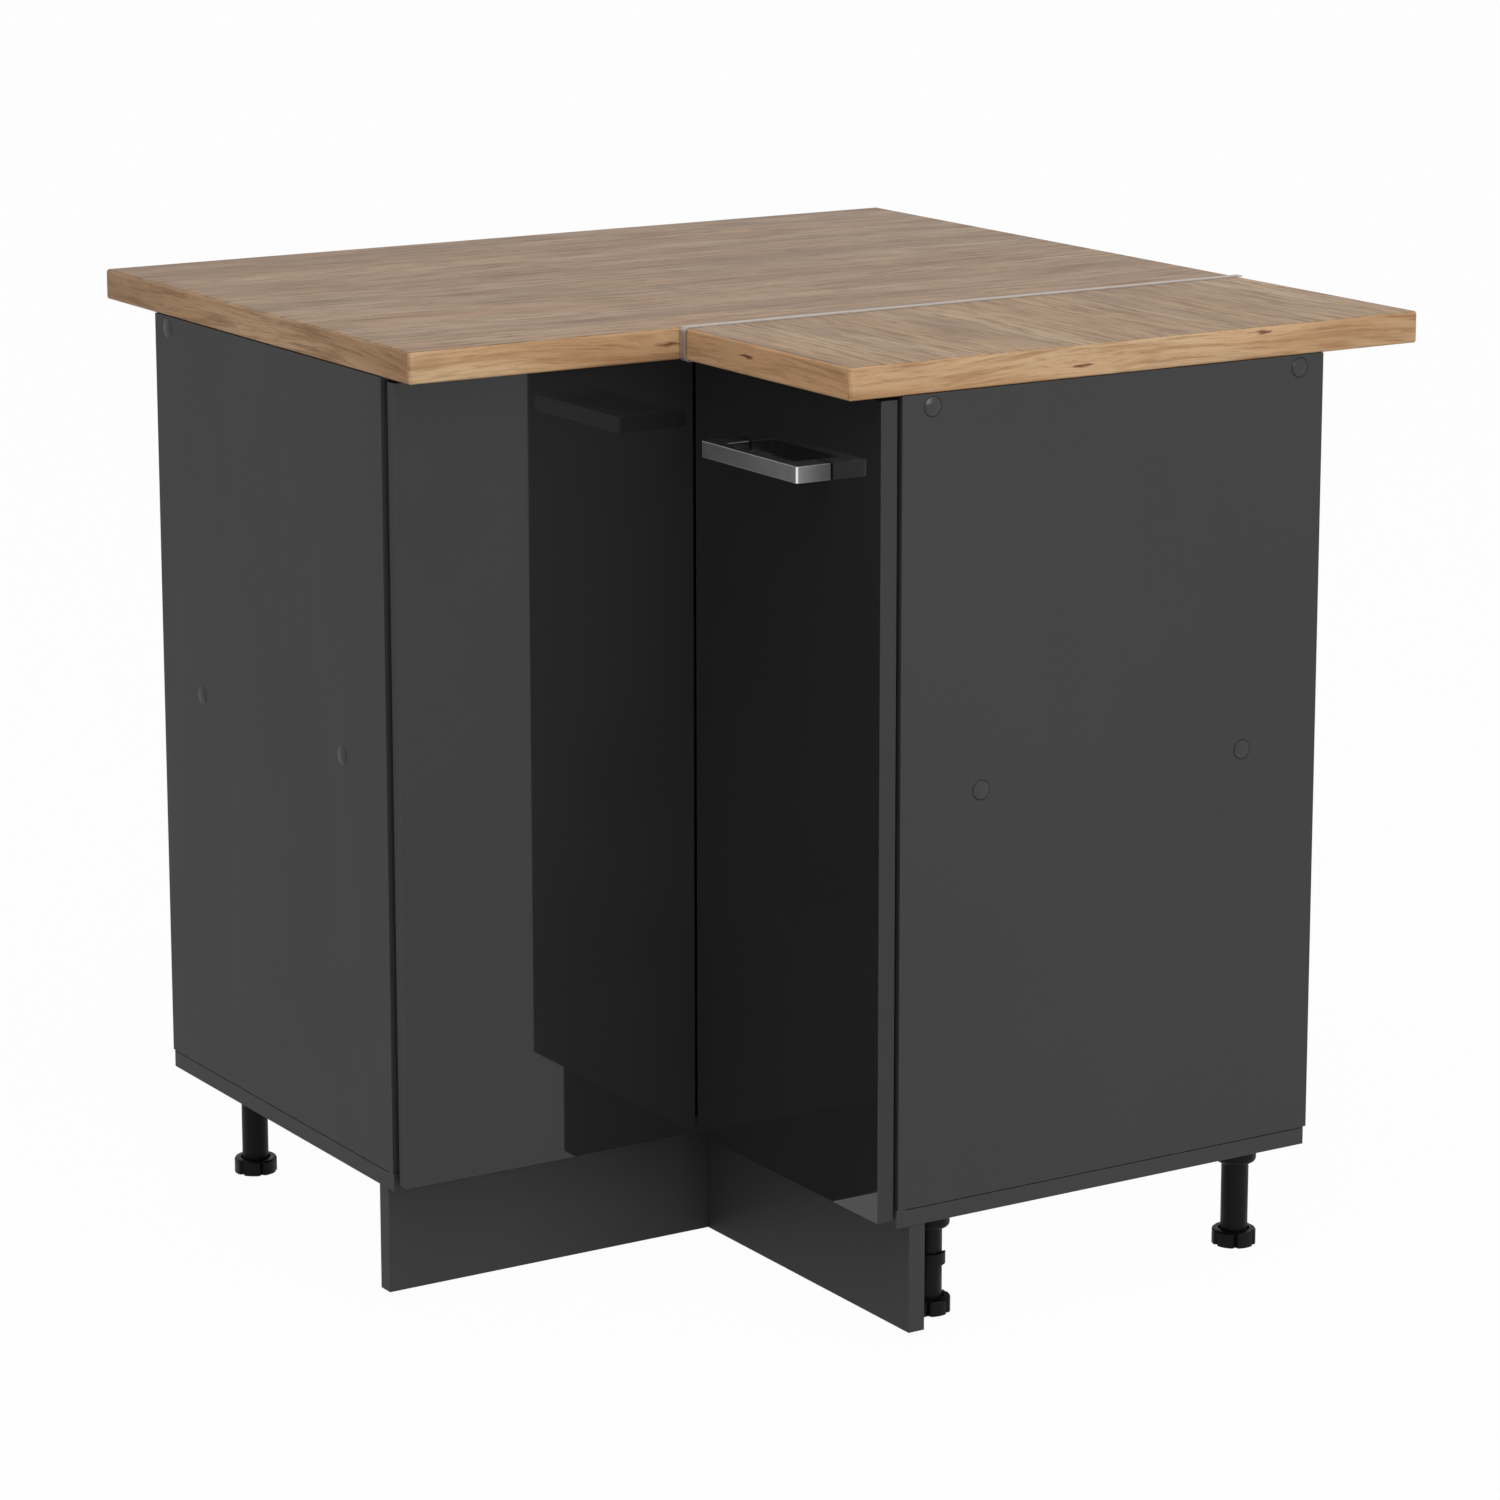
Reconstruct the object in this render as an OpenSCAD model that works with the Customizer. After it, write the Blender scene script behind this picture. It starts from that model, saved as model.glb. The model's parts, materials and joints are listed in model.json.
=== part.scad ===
// Corner base cabinet: an L-shaped carcass with two wings, under a worktop made of two
// boards and closed by a folding pair of doors. Lengths are in millimetres.
// In the modules the left wing ends at x = 0 and the right wing at y = 0. Both run to
// the walls, which are on the +X and +Y sides. Heights count from the floor.

/* [Worktop] */
// Length of the unit along each wall, from the end of a wing to the wall
worktop_len = 860; // [830:1:930]
// How far the worktop stands in front of the doors
worktop_overhang = 32.5; // [20:0.5:45]
// Thickness of the worktop boards
worktop_t = 28; // [26:1:40]
// Rounding of the exposed long edges of the worktop
worktop_edge_r = 3; // [1:0.5:4]

/* [Joint strip] */
// Width of the metal strip that lies along the joint of the two boards
strip_w = 10; // [8:1:16]
// Thickness of the strip
strip_t = 1.5; // [1:0.1:1.7]
// Gap between the strip and the front edge of the board
strip_gap = 0.5; // [0.3:0.1:0.8]
// Length of the flange under the board
strip_return = 13; // [9:1:20]
// How far the strip stands past the wall edge of the worktop
strip_wall_overhang = 5; // [1:1:8]

/* [Worktop fixings] */
// Diameter of the rod of a joint bolt
joint_bolt_d = 8; // [6:1:8]
// Distance of the first joint bolt from the front edge of the right wing
joint_bolt_first = 235; // [200:5:250]
// Distance between the two joint bolts
joint_bolt_pitch = 140; // [100:5:180]
// Length of a joint bolt
joint_bolt_len = 104; // [98:2:120]
// Distance of the outer worktop screws from the outer faces of the side panels
top_screw_out = 107; // [60:1:120]
// Distance of the inner front worktop screws from the front of the other wing
top_screw_front = 30; // [20:1:60]
// Distance of the inner rear worktop screws from the back of the carcass
top_screw_rear = 200; // [150:5:260]
// Diameter of the screws that hold the worktop down
top_screw_d = 4; // [3.5:0.5:5]
// How far those screws reach into the worktop
top_screw_bite = 15; // [10:1:20]

/* [Carcass] */
// Thickness of the carcass boards
board_t = 16; // [15:1:19]
// Space between the carcass and each wall, for pipes
wall_gap = 103; // [60:1:120]
// Depth of each wing, front edge to back edge of a side panel
carcass_depth = 440; // [425:1:450]
// Height of the carcass without legs and worktop
carcass_h = 718; // [700:1:780]
// How far the bottom board stands in front of the side panels
bottom_proud = 1.5; // [0:0.5:2]
// Thickness of the back panels
back_t = 3; // [2.5:0.5:5]
// How far the back panels reach into the rebate of the side panels
back_lap = 8; // [5:1:10]
// How far the back panels stay below the top and above the underside of the carcass
back_margin = 2; // [1:0.5:6]

/* [Rails] */
// Thickness of the four top rails
rail_t = 22; // [18:1:25]
// Width of the front rails
front_rail_w = 100; // [80:5:120]
// Width of the rear rails
rear_rail_w = 80; // [60:5:100]
// How far the front rails stay behind the front edge of the side panels
rail_setback = 2; // [1:1:10]
// Diameter of the wooden dowels that join the rails
dowel_d = 8; // [6:1:10]
// Length of the dowels
dowel_len = 40; // [30:2:50]
// How far the dowels at the end of the left front rail reach into the side panel
end_dowel_in = 10; // [8:1:12]

/* [Shelf and post] */
// Clear height between the bottom board and the fixed shelf
shelf_clear = 350; // [300:5:390]
// How far the shelf stays behind the front edge of the side panels
shelf_setback = 40; // [20:5:70]
// Side of the square post in the corner of the walls
post_w = 40; // [30:2:50]

/* [Connecting screws] */
// Length of a connecting screw
link_len = 50; // [40:2:60]
// Diameter of its head
link_head_d = 10; // [9:0.5:11]
// Diameter of its shoulder, which fills the side panel
link_shoulder_d = 7; // [6.5:0.5:8]
// Diameter of its threaded core
link_core_d = 5; // [4:0.5:6]
// Height of its head
link_head_h = 4; // [3:0.5:5]
// Depth of the head below the surface
link_sink = 0.6; // [0.2:0.2:1]
// Distance of the top screws below the top of the carcass
link_drop = 11; // [8:1:14]
// Distance of the front top screws behind the front edge
link_top_front = 30; // [24:1:60]
// Distance of the rear top screws from the back edge
link_top_back = 26; // [20:1:50]
// Distance of the front shelf screws behind the front edge
link_shelf_front = 82; // [80:1:120]
// Distance of the rear shelf screws from the back edge
link_shelf_back = 81; // [60:1:120]
// Distance of the upright screws in the bottom board from the edges of the side panels
link_bottom_in = 40; // [24:1:44]
// Diameter of the plastic cover caps
cap_d = 18; // [14:1:20]
// How far the cover caps stand out of the side panels
cap_proud = 0.8; // [0.5:0.1:1.5]
// Diameter of the spigot that holds a cover cap in the screw head
cap_spigot_d = 3.6; // [3:0.2:3.8]

/* [Doors] */
// Thickness of the doors
door_t = 16; // [16:1:18]
// Height of the lower edge of the doors above the underside of the carcass
door_lift = 7; // [2:0.5:9]
// Gap between the top of the doors and the worktop
door_top_gap = 3; // [2.5:0.5:5]
// Gap between the doors and the front edges of the side panels
door_gap = 3.5; // [3.5:0.5:5]
// Distance of the outer edge of a door from the outer face of its side panel
door_reveal = 2.5; // [1:0.5:4]
// How far the left door ends before the front face of the right door
left_fold_gap = 1; // [1:0.5:2]
// How far the right door ends before the front face of the left door
right_fold_gap = 3; // [2:0.5:5]
// Bevel on the back of the hinge edge of the left door
hinge_bevel = 4; // [4:0.1:4.4]
// Diameter of the soft bumper pads
bumper_d = 8; // [6:1:10]
// Distance of the inner bumper pads from the front of the other wing
bumper_in = 90; // [60:5:120]
// Distance of the outer bumper pad from the outer face of the right side panel
bumper_out = 55; // [30:5:90]

/* [Handle] */
// Distance between the two screws of the handle
handle_spacing = 128; // [96:1:160]
// Width of each leg of the handle along the bar
handle_leg_w = 24; // [12:1:26]
// Height of the handle
handle_h = 14; // [10:1:18]
// Depth of the front bar
handle_bar_t = 12; // [8:1:14]
// How far the handle stands out from the door
handle_reach = 35; // [30:1:45]
// Bevel on the outer upright corners of the handle
handle_bevel = 1.5; // [0.5:0.5:3]
// How far the middle of the handle lies from the middle of the door, inwards
handle_shift = 4; // [-20:1:20]
// Distance of the middle of the handle below the top of the door
handle_drop = 69.5; // [40:0.5:70]
// Diameter of the handle screws
handle_screw_d = 4; // [3:0.5:5]
// Depth of the screw holes in the handle legs
handle_thread = 12; // [8:1:16]

/* [Side hinges] */
// Distance of each hinge from the top and bottom of the door
hinge_from_end = 100; // [80:1:140]
// Radius of the bore for the hinge cup
cup_r = 17.5; // [17:0.5:17.5]
// Depth of that bore
cup_depth = 12.5; // [12.4:0.1:12.9]
// Land between the bore and the hinge edge of the door
cup_land = 4.5; // [4.4:0.1:4.7]
// Wall of the hinge cup
cup_wall = 0.9; // [0.7:0.1:1]
// Floor of the hinge cup
cup_floor = 0.8; // [0.6:0.1:0.9]
// Distance of the hinge pin from the hinge edge of the door
pivot_in = 9; // [8.8:0.1:9]
// Distance of the hinge pin in front of the back face of the door
pivot_deep = 9.2; // [9:0.1:9.3]
// Diameter of the hinge pin
hinge_pin_d = 2.5; // [2:0.1:2.6]
// Radius of the knuckle around the hinge pin
knuckle_r = 2.2; // [2:0.1:2.3]
// Thickness of the hinge arm
arm_t = 3.4; // [3:0.1:3.6]
// Height of the hinge arm
arm_h = 10; // [8:0.5:10]
// How far the leg of the arm inside the cup reaches behind the middle of the pin
arm_lead = 0.4; // [0.2:0.1:0.6]
// Distance from the hinge pin to the bend of the arm
arm_reach = 14; // [13.5:0.1:14.5]
// Distance of the plate screws behind the front edge of the side panel
plate_screw_set = 37; // [37:1:50]

/* [Fold hinges] */
// Thickness of the leaves of the fold hinges
leaf_t = 2; // [1.5:0.1:2.2]
// Height of the leaves
leaf_h = 50; // [40:2:70]
// Width of a leaf, knuckle to free edge
leaf_w = 58; // [50:1:80]
// Radius of the knuckles of the fold hinges
fold_knuckle_r = 4; // [3.5:0.1:4.4]
// Diameter of the pins of the fold hinges
fold_pin_d = 4; // [3:0.5:4.5]

/* [Legs] */
// Height of the legs, floor to underside of the carcass
leg_h = 110; // [100:1:130]
// Radius of a leg tube
tube_r = 12.4; // [11:0.1:13]
// Radius of the sockets that hold the tubes
socket_r = 19; // [17:0.5:19]
// Height of the sockets
socket_h = 32; // [25:1:40]
// Thickness of the plate of a socket
socket_plate_t = 4; // [3:0.5:6]
// Length of the plate of a socket
socket_plate_len = 68; // [60:1:72]
// Radius of the plugs that hold a socket in the bottom board
plug_r = 5; // [4:0.5:6]
// Radius of a foot
foot_r = 20; // [18:0.5:22]
// Height of a foot
foot_h = 14; // [13:1:20]
// Rounding of the lower edge of a socket
leg_round_r = 4; // [2:0.5:4]
// Rounding of the upper edge of a foot
foot_round_r = 2; // [1:0.5:3]
// Height of the floor of the recess in a foot
foot_floor = 6; // [4:0.5:6]
// Radius of the recess in a foot
foot_recess_r = 14.2; // [14:0.1:14.6]
// Height of the lower end of the tubes
tube_lift = 9.5; // [9.5:0.5:12]
// Radius of the threaded stem of a foot
stem_r = 8; // [6:0.5:9]
// Length of the stem above the floor of the recess
stem_len = 50; // [40:1:60]
// Distance of the outer legs from the ends of the wings
leg_side = 72; // [60:1:100]
// Distance of the rear legs from the back of the carcass
leg_back = 23; // [23:1:60]
// Distance of the front legs behind the front of the carcass
leg_front = 80; // [72:1:95]
// Distance of the leg in the wall corner from both backs
leg_corner = 60; // [50:1:90]

/* [Plinth] */
// Thickness of the plinth boards
plinth_t = 16; // [12:1:19]
// Distance of the plinth behind the front edge of the side panels
plinth_setback = 13; // [8:1:20]
// Gap between the plinth and the bottom board
plinth_top_gap = 0.5; // [0.2:0.1:0.8]
// Height of the lower edge of the plinth above the floor
plinth_lift = 13; // [5:1:25]
// Distance of the plinth ends from the outer faces of the carcass
plinth_end = 2; // [0:1:10]
// Height of the clip rings on the legs
clip_h = 11; // [8:1:14]
// Wall of the clip rings
clip_wall = 2.9; // [2:0.1:3.5]
// Distance of the clip rings below the carcass, to their upper edge
clip_drop = 55; // [42:1:60]

/* [Fits] */
// Radial clearance of a pin, screw or dowel in its hole
fit = 0.05; // [0.02:0.01:0.08]
// Side clearance of boards that slide past each other
board_clear = 0.3; // [0.2:0.1:0.5]

/* [Hidden] */
$fn = 48;
eps = 1;

// Levels
carcass_z = leg_h;
carcass_top = carcass_z + carcass_h;
side_z = carcass_z + board_t;
worktop_top = carcass_top + worktop_t;
rail_z = carcass_top - rail_t;
shelf_z = side_z + shelf_clear;
door_top = carcass_top - door_top_gap;
door_z = carcass_z + door_lift;
door_h = door_top - door_z;
upper_hinge_z = door_top - hinge_from_end;
lower_hinge_z = door_z + hinge_from_end;
handle_z = door_top - handle_drop;
plinth_z = plinth_lift;
plinth_h = carcass_z - plinth_top_gap - plinth_z;

// Upright planes of the left wing; the right wing has the same ones with x and y swapped
carcass_len = worktop_len - wall_gap;
carcass_front = carcass_len - carcass_depth;
bottom_front = carcass_front - bottom_proud;
panel_back = carcass_len - back_t;
rail_front = carcass_front + rail_setback;
shelf_front = carcass_front + shelf_setback;
door_back = carcass_front - door_gap;
door_front = door_back - door_t;
notch = door_front - worktop_overhang;
worktop_depth = worktop_len - notch;
left_door_end = door_front - left_fold_gap;
right_door_end = door_front - right_fold_gap;
handle_y = (door_reveal + right_door_end) / 2 + handle_shift;
plinth_front = carcass_front + plinth_setback;
plinth_back = plinth_front + plinth_t;

// The bends of the strip follow the rounded edge of the board inside it
strip_bend_r = worktop_edge_r + strip_gap + strip_t;

// The frame's origin is under the middle of the whole unit
origin_x = (worktop_len + strip_wall_overhang - cap_proud) / 2;
origin_y = (worktop_len - cap_proud) / 2;

// Hinge geometry
pivot = [door_reveal + pivot_in, door_back - pivot_deep];
cup_x = door_reveal + cup_land + cup_r;
cup_body_r = cup_r - fit;
cup_inner_r = cup_body_r - cup_wall;
arm_x = pivot.x + arm_reach;
pin_far_side = cup_x - pivot.x + hinge_pin_d / 2;
pin_inset = 0.1;
pin_half = sqrt(pow(cup_body_r, 2) - pow(pin_far_side, 2)) - pin_inset;
cup_wing = [26, 52];
cup_wing_t = 1;
cup_screw_z = 22.5;
plate_wing_t = 2.5;
plate_wing = [16, 44];
plate_block_len = 50;
plate_screw_z = 16;
arm_screw_back = 12;
arm_screw_d = 4;
arm_screw_bite = 5;
small_screw_d = 3.5;
small_head_d = 7;
small_head_h = 2;
screw_in_board = 12;
screw_room = 1;
handle_head = [8, 2.4];
hinge_zs = [lower_hinge_z, upper_hinge_z];

fold_axis = door_back + leaf_t - fold_knuckle_r;
leaf_free = fold_axis - leaf_w;
leaf_relief = 0.5;
leaf_root = fold_axis - 2 * fold_knuckle_r;
knuckle_gap = 0.2;
leaf_screws_in = [10, 30];
leaf_screw_z = 14;

// Connecting screws of a side panel: distance along the wing's depth and height
shelf_mid = shelf_z + board_t / 2;
link_points = [
  [carcass_front + link_top_front, carcass_top - link_drop],
  [carcass_len - link_top_back, carcass_top - link_drop],
  [carcass_front + link_shelf_front, shelf_mid],
  [carcass_len - link_shelf_back, shelf_mid]
];
// The left wing has no connecting screw at its front top corner, where dowels hold the rail
left_first_link = 1;
upright_link_ys = [carcass_front + link_bottom_in, carcass_len - link_bottom_in];
socket_hex_d = 4.6;
socket_hex_h = 2.6;
cap_spigot_h = 2;
link_tip_h = 5;

// Screws through the rails into the worktop, placed in the left wing
front_rail_mid = rail_front + front_rail_w / 2;
rear_rail_mid = panel_back - rear_rail_w / 2;
top_screw_points = [
  [top_screw_out, front_rail_mid],
  [carcass_front - top_screw_front, front_rail_mid],
  [top_screw_out, rear_rail_mid],
  [carcass_len - top_screw_rear, rear_rail_mid]
];
top_head_d = 8;
top_head_h = 2.6;
top_head_room = 0.2;

// Screws of the back panels, placed in the left wing: along the wall and height
back_screw_d = 3;
back_head_d = 6;
back_head_h = 1.6;
back_screw_len = 15;
back_screw_first = 60;
back_screw_rows = 4;
back_screw_step = (panel_back - 2 * back_screw_first) / back_screw_rows;
back_screw_points = concat(
  [for (i = [0 : back_screw_rows]) each
    [[back_screw_first + i * back_screw_step, carcass_z + board_t / 2],
     [back_screw_first + i * back_screw_step, carcass_top - rail_t / 2]]],
  [for (z = [side_z + shelf_clear / 2, shelf_z + board_t + shelf_clear / 2])
    [panel_back - post_w / 2, z]]
);

// Joint bolts of the worktop
bolt_height = 11;
bolt_z = carcass_top + bolt_height;
bolt_channel = [12, 20];
bolt_pocket = [36, 30];
pocket_wall = 42;
nut_h = 6.5;
nut_d = 15;
joint_washer = [28, 3, 16];
bolt_xs = [notch + joint_bolt_first, notch + joint_bolt_first + joint_bolt_pitch];

// Bumper pads on the front edge of the bottom board, along each wing
bumper_t = door_gap - bottom_proud - board_clear;
bumper_margin = 0.5;
bumper_z = side_z - bumper_d / 2 - bumper_margin;
left_bumper_xs = [carcass_front - bumper_in];
right_bumper_ys = [bumper_out, carcass_front - bumper_in];

// Legs: place and turn of the socket plate, in the order left rear, left front, inner
// corner, right front, right rear and wall corner
legs = [
  [leg_side, carcass_len - leg_back, 0],
  [leg_side, carcass_front + leg_front, 0],
  [carcass_front + leg_front, carcass_front + leg_front, 0],
  [carcass_front + leg_front, leg_side, 90],
  [carcass_len - leg_back, leg_side, 90],
  [carcass_len - leg_corner, carcass_len - leg_corner, 0]
];
// How far each foot is turned, in the same order
foot_turns = [22, 22, 0, 58, 58, 0];
tube_top = carcass_z - socket_plate_t;
stem_room = 12;
stem_bore_h = stem_len + stem_room;
plug_h = 12;
plug_edge = 5;
plug_spacing = socket_plate_len - 2 * plug_r - 2 * plug_edge;
notch_count = 6;
notch_depth = 3;

// Plinth clips
clip_top = carcass_z - clip_drop;
clip_base = [30, 3, 40];
clip_arm_w = 10;
clip_mouth = 17;
clip_screw_z = 14;
corner_plate = [2, 56, 40];
corner_plate_end = 2;
corner_screw_z = 12;

colour_oak = "#b39a77";
colour_panel = "#434345";
colour_gloss = "#1c1c1e";
colour_inside = "#4a4a4c";
colour_plinth = "#38383a";
colour_plastic = "#191919";
colour_steel = "#a9abad";
colour_back = "#5a5a5c";
colour_wood = "#c8a878";

// Puts a module that is drawn from the wing ends into the unit's own frame
module in_unit() {
  translate([-origin_x, -origin_y, 0]) children();
}

// Turns something drawn for the left wing into its mirror image in the right wing
module right_wing() {
  mirror([1, -1, 0]) children();
}

// A box between two corners
module box(low, high) {
  translate(low) cube(high - low);
}

// A round bar along +X, +Y or +Z that starts at a point
module bar_x(start, r, len) {
  translate(start) rotate([0, 90, 0]) cylinder(r = r, h = len);
}

module bar_y(start, r, len) {
  translate(start) rotate([-90, 0, 0]) cylinder(r = r, h = len);
}

module bar_z(start, r, len) {
  translate(start) cylinder(r = r, h = len);
}

// What a rounded long edge takes off a board. The edge runs along +X from the origin
// and the board lies on the +Y side, below the edge
module edge_waste(len, r) {
  difference() {
    translate([-eps, -eps, -r]) cube([len + eps, r + eps, r + eps]);
    translate([-2 * eps, r, -r]) rotate([0, 90, 0]) cylinder(r = r, h = len + 3 * eps);
  }
}

// The same, on the upper and the lower edge of a worktop board
module edge_waste_pair(len) {
  translate([0, 0, worktop_top]) edge_waste(len, worktop_edge_r);
  translate([0, 0, carcass_top]) mirror([0, 0, 1]) edge_waste(len, worktop_edge_r);
}

// Recesses for the joint bolts, cut into the underside of both boards
module bolt_recesses() {
  for (x = bolt_xs) {
    box([x - bolt_channel.x / 2, notch - pocket_wall - eps, carcass_top - eps],
        [x + bolt_channel.x / 2, notch + pocket_wall + eps, carcass_top + bolt_channel.y]);
    for (side = [-1, 1])
      translate([x, notch + side * (pocket_wall + bolt_pocket.y / 2), carcass_top])
        translate([-bolt_pocket.x / 2, -bolt_pocket.y / 2, -eps])
          cube([bolt_pocket.x, bolt_pocket.y, bolt_channel.y + eps]);
  }
}

// Blind holes in the worktop for the screws that come up through the rails
module top_screw_holes() {
  for (p = top_screw_points) {
    bar_z([p.x, p.y, carcass_top - eps], top_screw_d / 2 + fit, top_screw_bite + 2 * eps);
    bar_z([p.y, p.x, carcass_top - eps], top_screw_d / 2 + fit, top_screw_bite + 2 * eps);
  }
}

module worktop_main() {
  color(colour_oak) in_unit() difference() {
    box([0, notch, carcass_top], [worktop_len, worktop_len, worktop_top]);
    translate([0, notch, 0]) edge_waste_pair(notch);
    translate([0, worktop_len + eps, 0]) rotate([0, 0, -90])
      edge_waste_pair(worktop_depth + 2 * eps);
    bolt_recesses();
    top_screw_holes();
  }
}

module worktop_wing() {
  color(colour_oak) in_unit() difference() {
    box([notch, 0, carcass_top], [worktop_len, notch, worktop_top]);
    translate([notch, 0, 0]) edge_waste_pair(worktop_depth + 2 * eps);
    translate([notch, notch + eps, 0]) rotate([0, 0, -90]) edge_waste_pair(notch + 2 * eps);
    bolt_recesses();
    top_screw_holes();
  }
}

// Side view of the joint strip: a long flange on top, a web and a short flange below
module strip_outline() {
  web = notch - strip_gap - strip_t;
  bend = web + strip_bend_r;
  top = worktop_top + strip_t;
  low = carcass_top - strip_t;
  inner_r = strip_bend_r - strip_t;
  translate([bend, worktop_top]) square([worktop_len + strip_wall_overhang - bend, strip_t]);
  translate([bend, low]) square([notch + strip_return - bend, strip_t]);
  translate([web, low + strip_bend_r]) square([strip_t, top - low - 2 * strip_bend_r]);
  for (z = [low + strip_bend_r, top - strip_bend_r])
    difference() {
      translate([bend, z]) circle(r = strip_bend_r);
      translate([bend, z]) circle(r = inner_r);
      translate([bend, z - 2 * strip_bend_r]) square(4 * strip_bend_r);
      translate([web - eps, z > (low + top) / 2 ? z - 2 * strip_bend_r : z])
        square(2 * strip_bend_r);
    }
}

module worktop_joint_strip() {
  color(colour_steel) in_unit() translate([0, notch, 0]) rotate([90, 0, 0])
    linear_extrude(height = strip_w) strip_outline();
}

module worktop_joint_bolts() {
  color(colour_steel) in_unit() for (x = bolt_xs) {
    bar_y([x, notch - joint_bolt_len / 2, bolt_z], joint_bolt_d / 2, joint_bolt_len);
    for (side = [0, 1])
      translate([x, notch, bolt_z]) mirror([0, side, 0]) {
        difference() {
          translate([-joint_washer.x / 2, pocket_wall, -joint_washer.z / 2]) cube(joint_washer);
          bar_y([0, 0, 0], joint_bolt_d / 2 + fit, pocket_wall + 2 * joint_washer.y);
        }
        difference() {
          translate([0, pocket_wall + joint_washer.y, 0]) rotate([-90, 0, 0])
            cylinder(d = nut_d, h = nut_h, $fn = 6);
          bar_y([0, 0, 0], joint_bolt_d / 2 + fit, pocket_wall + joint_washer.y + 2 * nut_h);
        }
      }
  }
}

module top_screw() {
  head_z = rail_z + top_head_room;
  bar_z([0, 0, head_z], top_head_d / 2, top_head_h);
  bar_z([0, 0, head_z + top_head_h], top_screw_d / 2,
        carcass_top + top_screw_bite - head_z - top_head_h);
}

module worktop_fixing_screws() {
  color(colour_steel) in_unit() for (p = top_screw_points) {
    translate([p.x, p.y, 0]) top_screw();
    translate([p.y, p.x, 0]) top_screw();
  }
}

// Holes for those screws in a left rail
module top_screw_rail_holes() {
  for (p = top_screw_points) {
    bar_z([p.x, p.y, rail_z - eps], top_screw_d / 2 + fit, rail_t + 2 * eps);
    bar_z([p.x, p.y, rail_z - eps], top_head_d / 2 + fit, top_head_h + top_head_room + eps);
  }
}

// Connecting screw along +Z, with its head just below the surface at z = 0
module link_screw() {
  shoulder = link_sink + link_head_h;
  difference() {
    union() {
      bar_z([0, 0, link_sink], link_head_d / 2, link_head_h);
      bar_z([0, 0, shoulder], link_shoulder_d / 2, board_t - shoulder);
      bar_z([0, 0, board_t], link_core_d / 2, link_len - board_t - link_tip_h);
      translate([0, 0, link_len - link_tip_h])
        cylinder(r1 = link_core_d / 2, r2 = link_core_d / 5, h = link_tip_h);
    }
    translate([0, 0, link_sink - eps])
      cylinder(d = socket_hex_d, h = socket_hex_h + eps, $fn = 6);
  }
}

// Stepped hole for that screw, through the outer board and into the next one
module link_hole() {
  bar_z([0, 0, -eps], link_head_d / 2 + fit, link_sink + link_head_h + eps);
  bar_z([0, 0, -eps], link_shoulder_d / 2 + fit, board_t + eps);
  bar_z([0, 0, 0], link_core_d / 2 + fit, link_len + eps);
}

// Something drawn along +Z from the outer face, at each screw of the left side panel,
// counted from the first one that the wing has
module at_link_points(first = 0) {
  for (i = [first : len(link_points) - 1])
    translate([0, link_points[i].x, link_points[i].y]) rotate([0, 90, 0]) children();
}

module at_upright_links() {
  for (y = upright_link_ys)
    translate([board_t / 2, y, carcass_z]) children();
}

// Screw positions of the back panels, drawn along -Y from the outer face
module at_back_screws() {
  for (p = back_screw_points)
    translate([p.x, carcass_len, p.y]) rotate([90, 0, 0]) children();
}

module back_screw_hole() {
  bar_z([0, 0, -eps], back_screw_d / 2 + fit, back_screw_len + eps);
}

module side_panel(first = 0) {
  difference() {
    box([0, carcass_front, side_z], [board_t, carcass_len, carcass_top]);
    box([board_t - back_lap - board_clear, panel_back, side_z - eps],
        [board_t + eps, carcass_len + eps, carcass_top + eps]);
    at_link_points(first) link_hole();
    at_upright_links() link_hole();
  }
}

module left_side_panel() {
  color(colour_panel) in_unit() difference() {
    side_panel(left_first_link);
    at_hinges() plate_screw_holes();
    end_dowels(board_clear);
  }
}

module right_side_panel() {
  color(colour_panel) in_unit() right_wing() side_panel();
}

module bottom_board() {
  color(colour_inside) in_unit() difference() {
    translate([0, 0, carcass_z]) linear_extrude(height = board_t)
      polygon([[0, bottom_front], [bottom_front, bottom_front], [bottom_front, 0],
               [panel_back, 0], [panel_back, panel_back], [0, panel_back]]);
    at_upright_links() link_hole();
    right_wing() at_upright_links() link_hole();
    at_back_screws() back_screw_hole();
    right_wing() at_back_screws() back_screw_hole();
    at_legs() for (side = [-1, 1])
      bar_z([side * plug_spacing / 2, 0, carcass_z - eps], plug_r + fit, plug_h + 2 * eps);
  }
}

module fixed_shelf() {
  inner = board_t;
  far = panel_back - post_w - board_clear;
  color(colour_inside) in_unit() difference() {
    translate([0, 0, shelf_z]) linear_extrude(height = board_t)
      polygon([[inner, shelf_front], [shelf_front, shelf_front], [shelf_front, inner],
               [panel_back, inner], [panel_back, far], [far, far], [far, panel_back],
               [inner, panel_back]]);
    at_link_points(left_first_link) link_hole();
    right_wing() at_link_points() link_hole();
  }
}

// A top rail of the left wing, from the side panel to end_x
module rail(front_y, width, end_x, first = 0) {
  difference() {
    box([board_t, front_y, rail_z], [end_x, front_y + width, carcass_top]);
    at_link_points(first) link_hole();
    top_screw_rail_holes();
    at_back_screws() back_screw_hole();
  }
}

// Dowels across the joint of two rails that lies in the plane y = joint_y
module rail_dowel_pair(joint_y, low_x, width, slack) {
  for (part = [1, 3])
    bar_y([low_x + part * width / 4, joint_y - dowel_len / 2 - slack, rail_z + rail_t / 2],
          dowel_d / 2 + min(slack, fit), dowel_len + 2 * slack);
}

module front_dowels(slack) {
  rail_dowel_pair(rail_front, rail_front, front_rail_w, slack);
}

module rear_dowels(slack) {
  rail_dowel_pair(panel_back - rear_rail_w, panel_back - rear_rail_w, rear_rail_w, slack);
}

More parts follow.
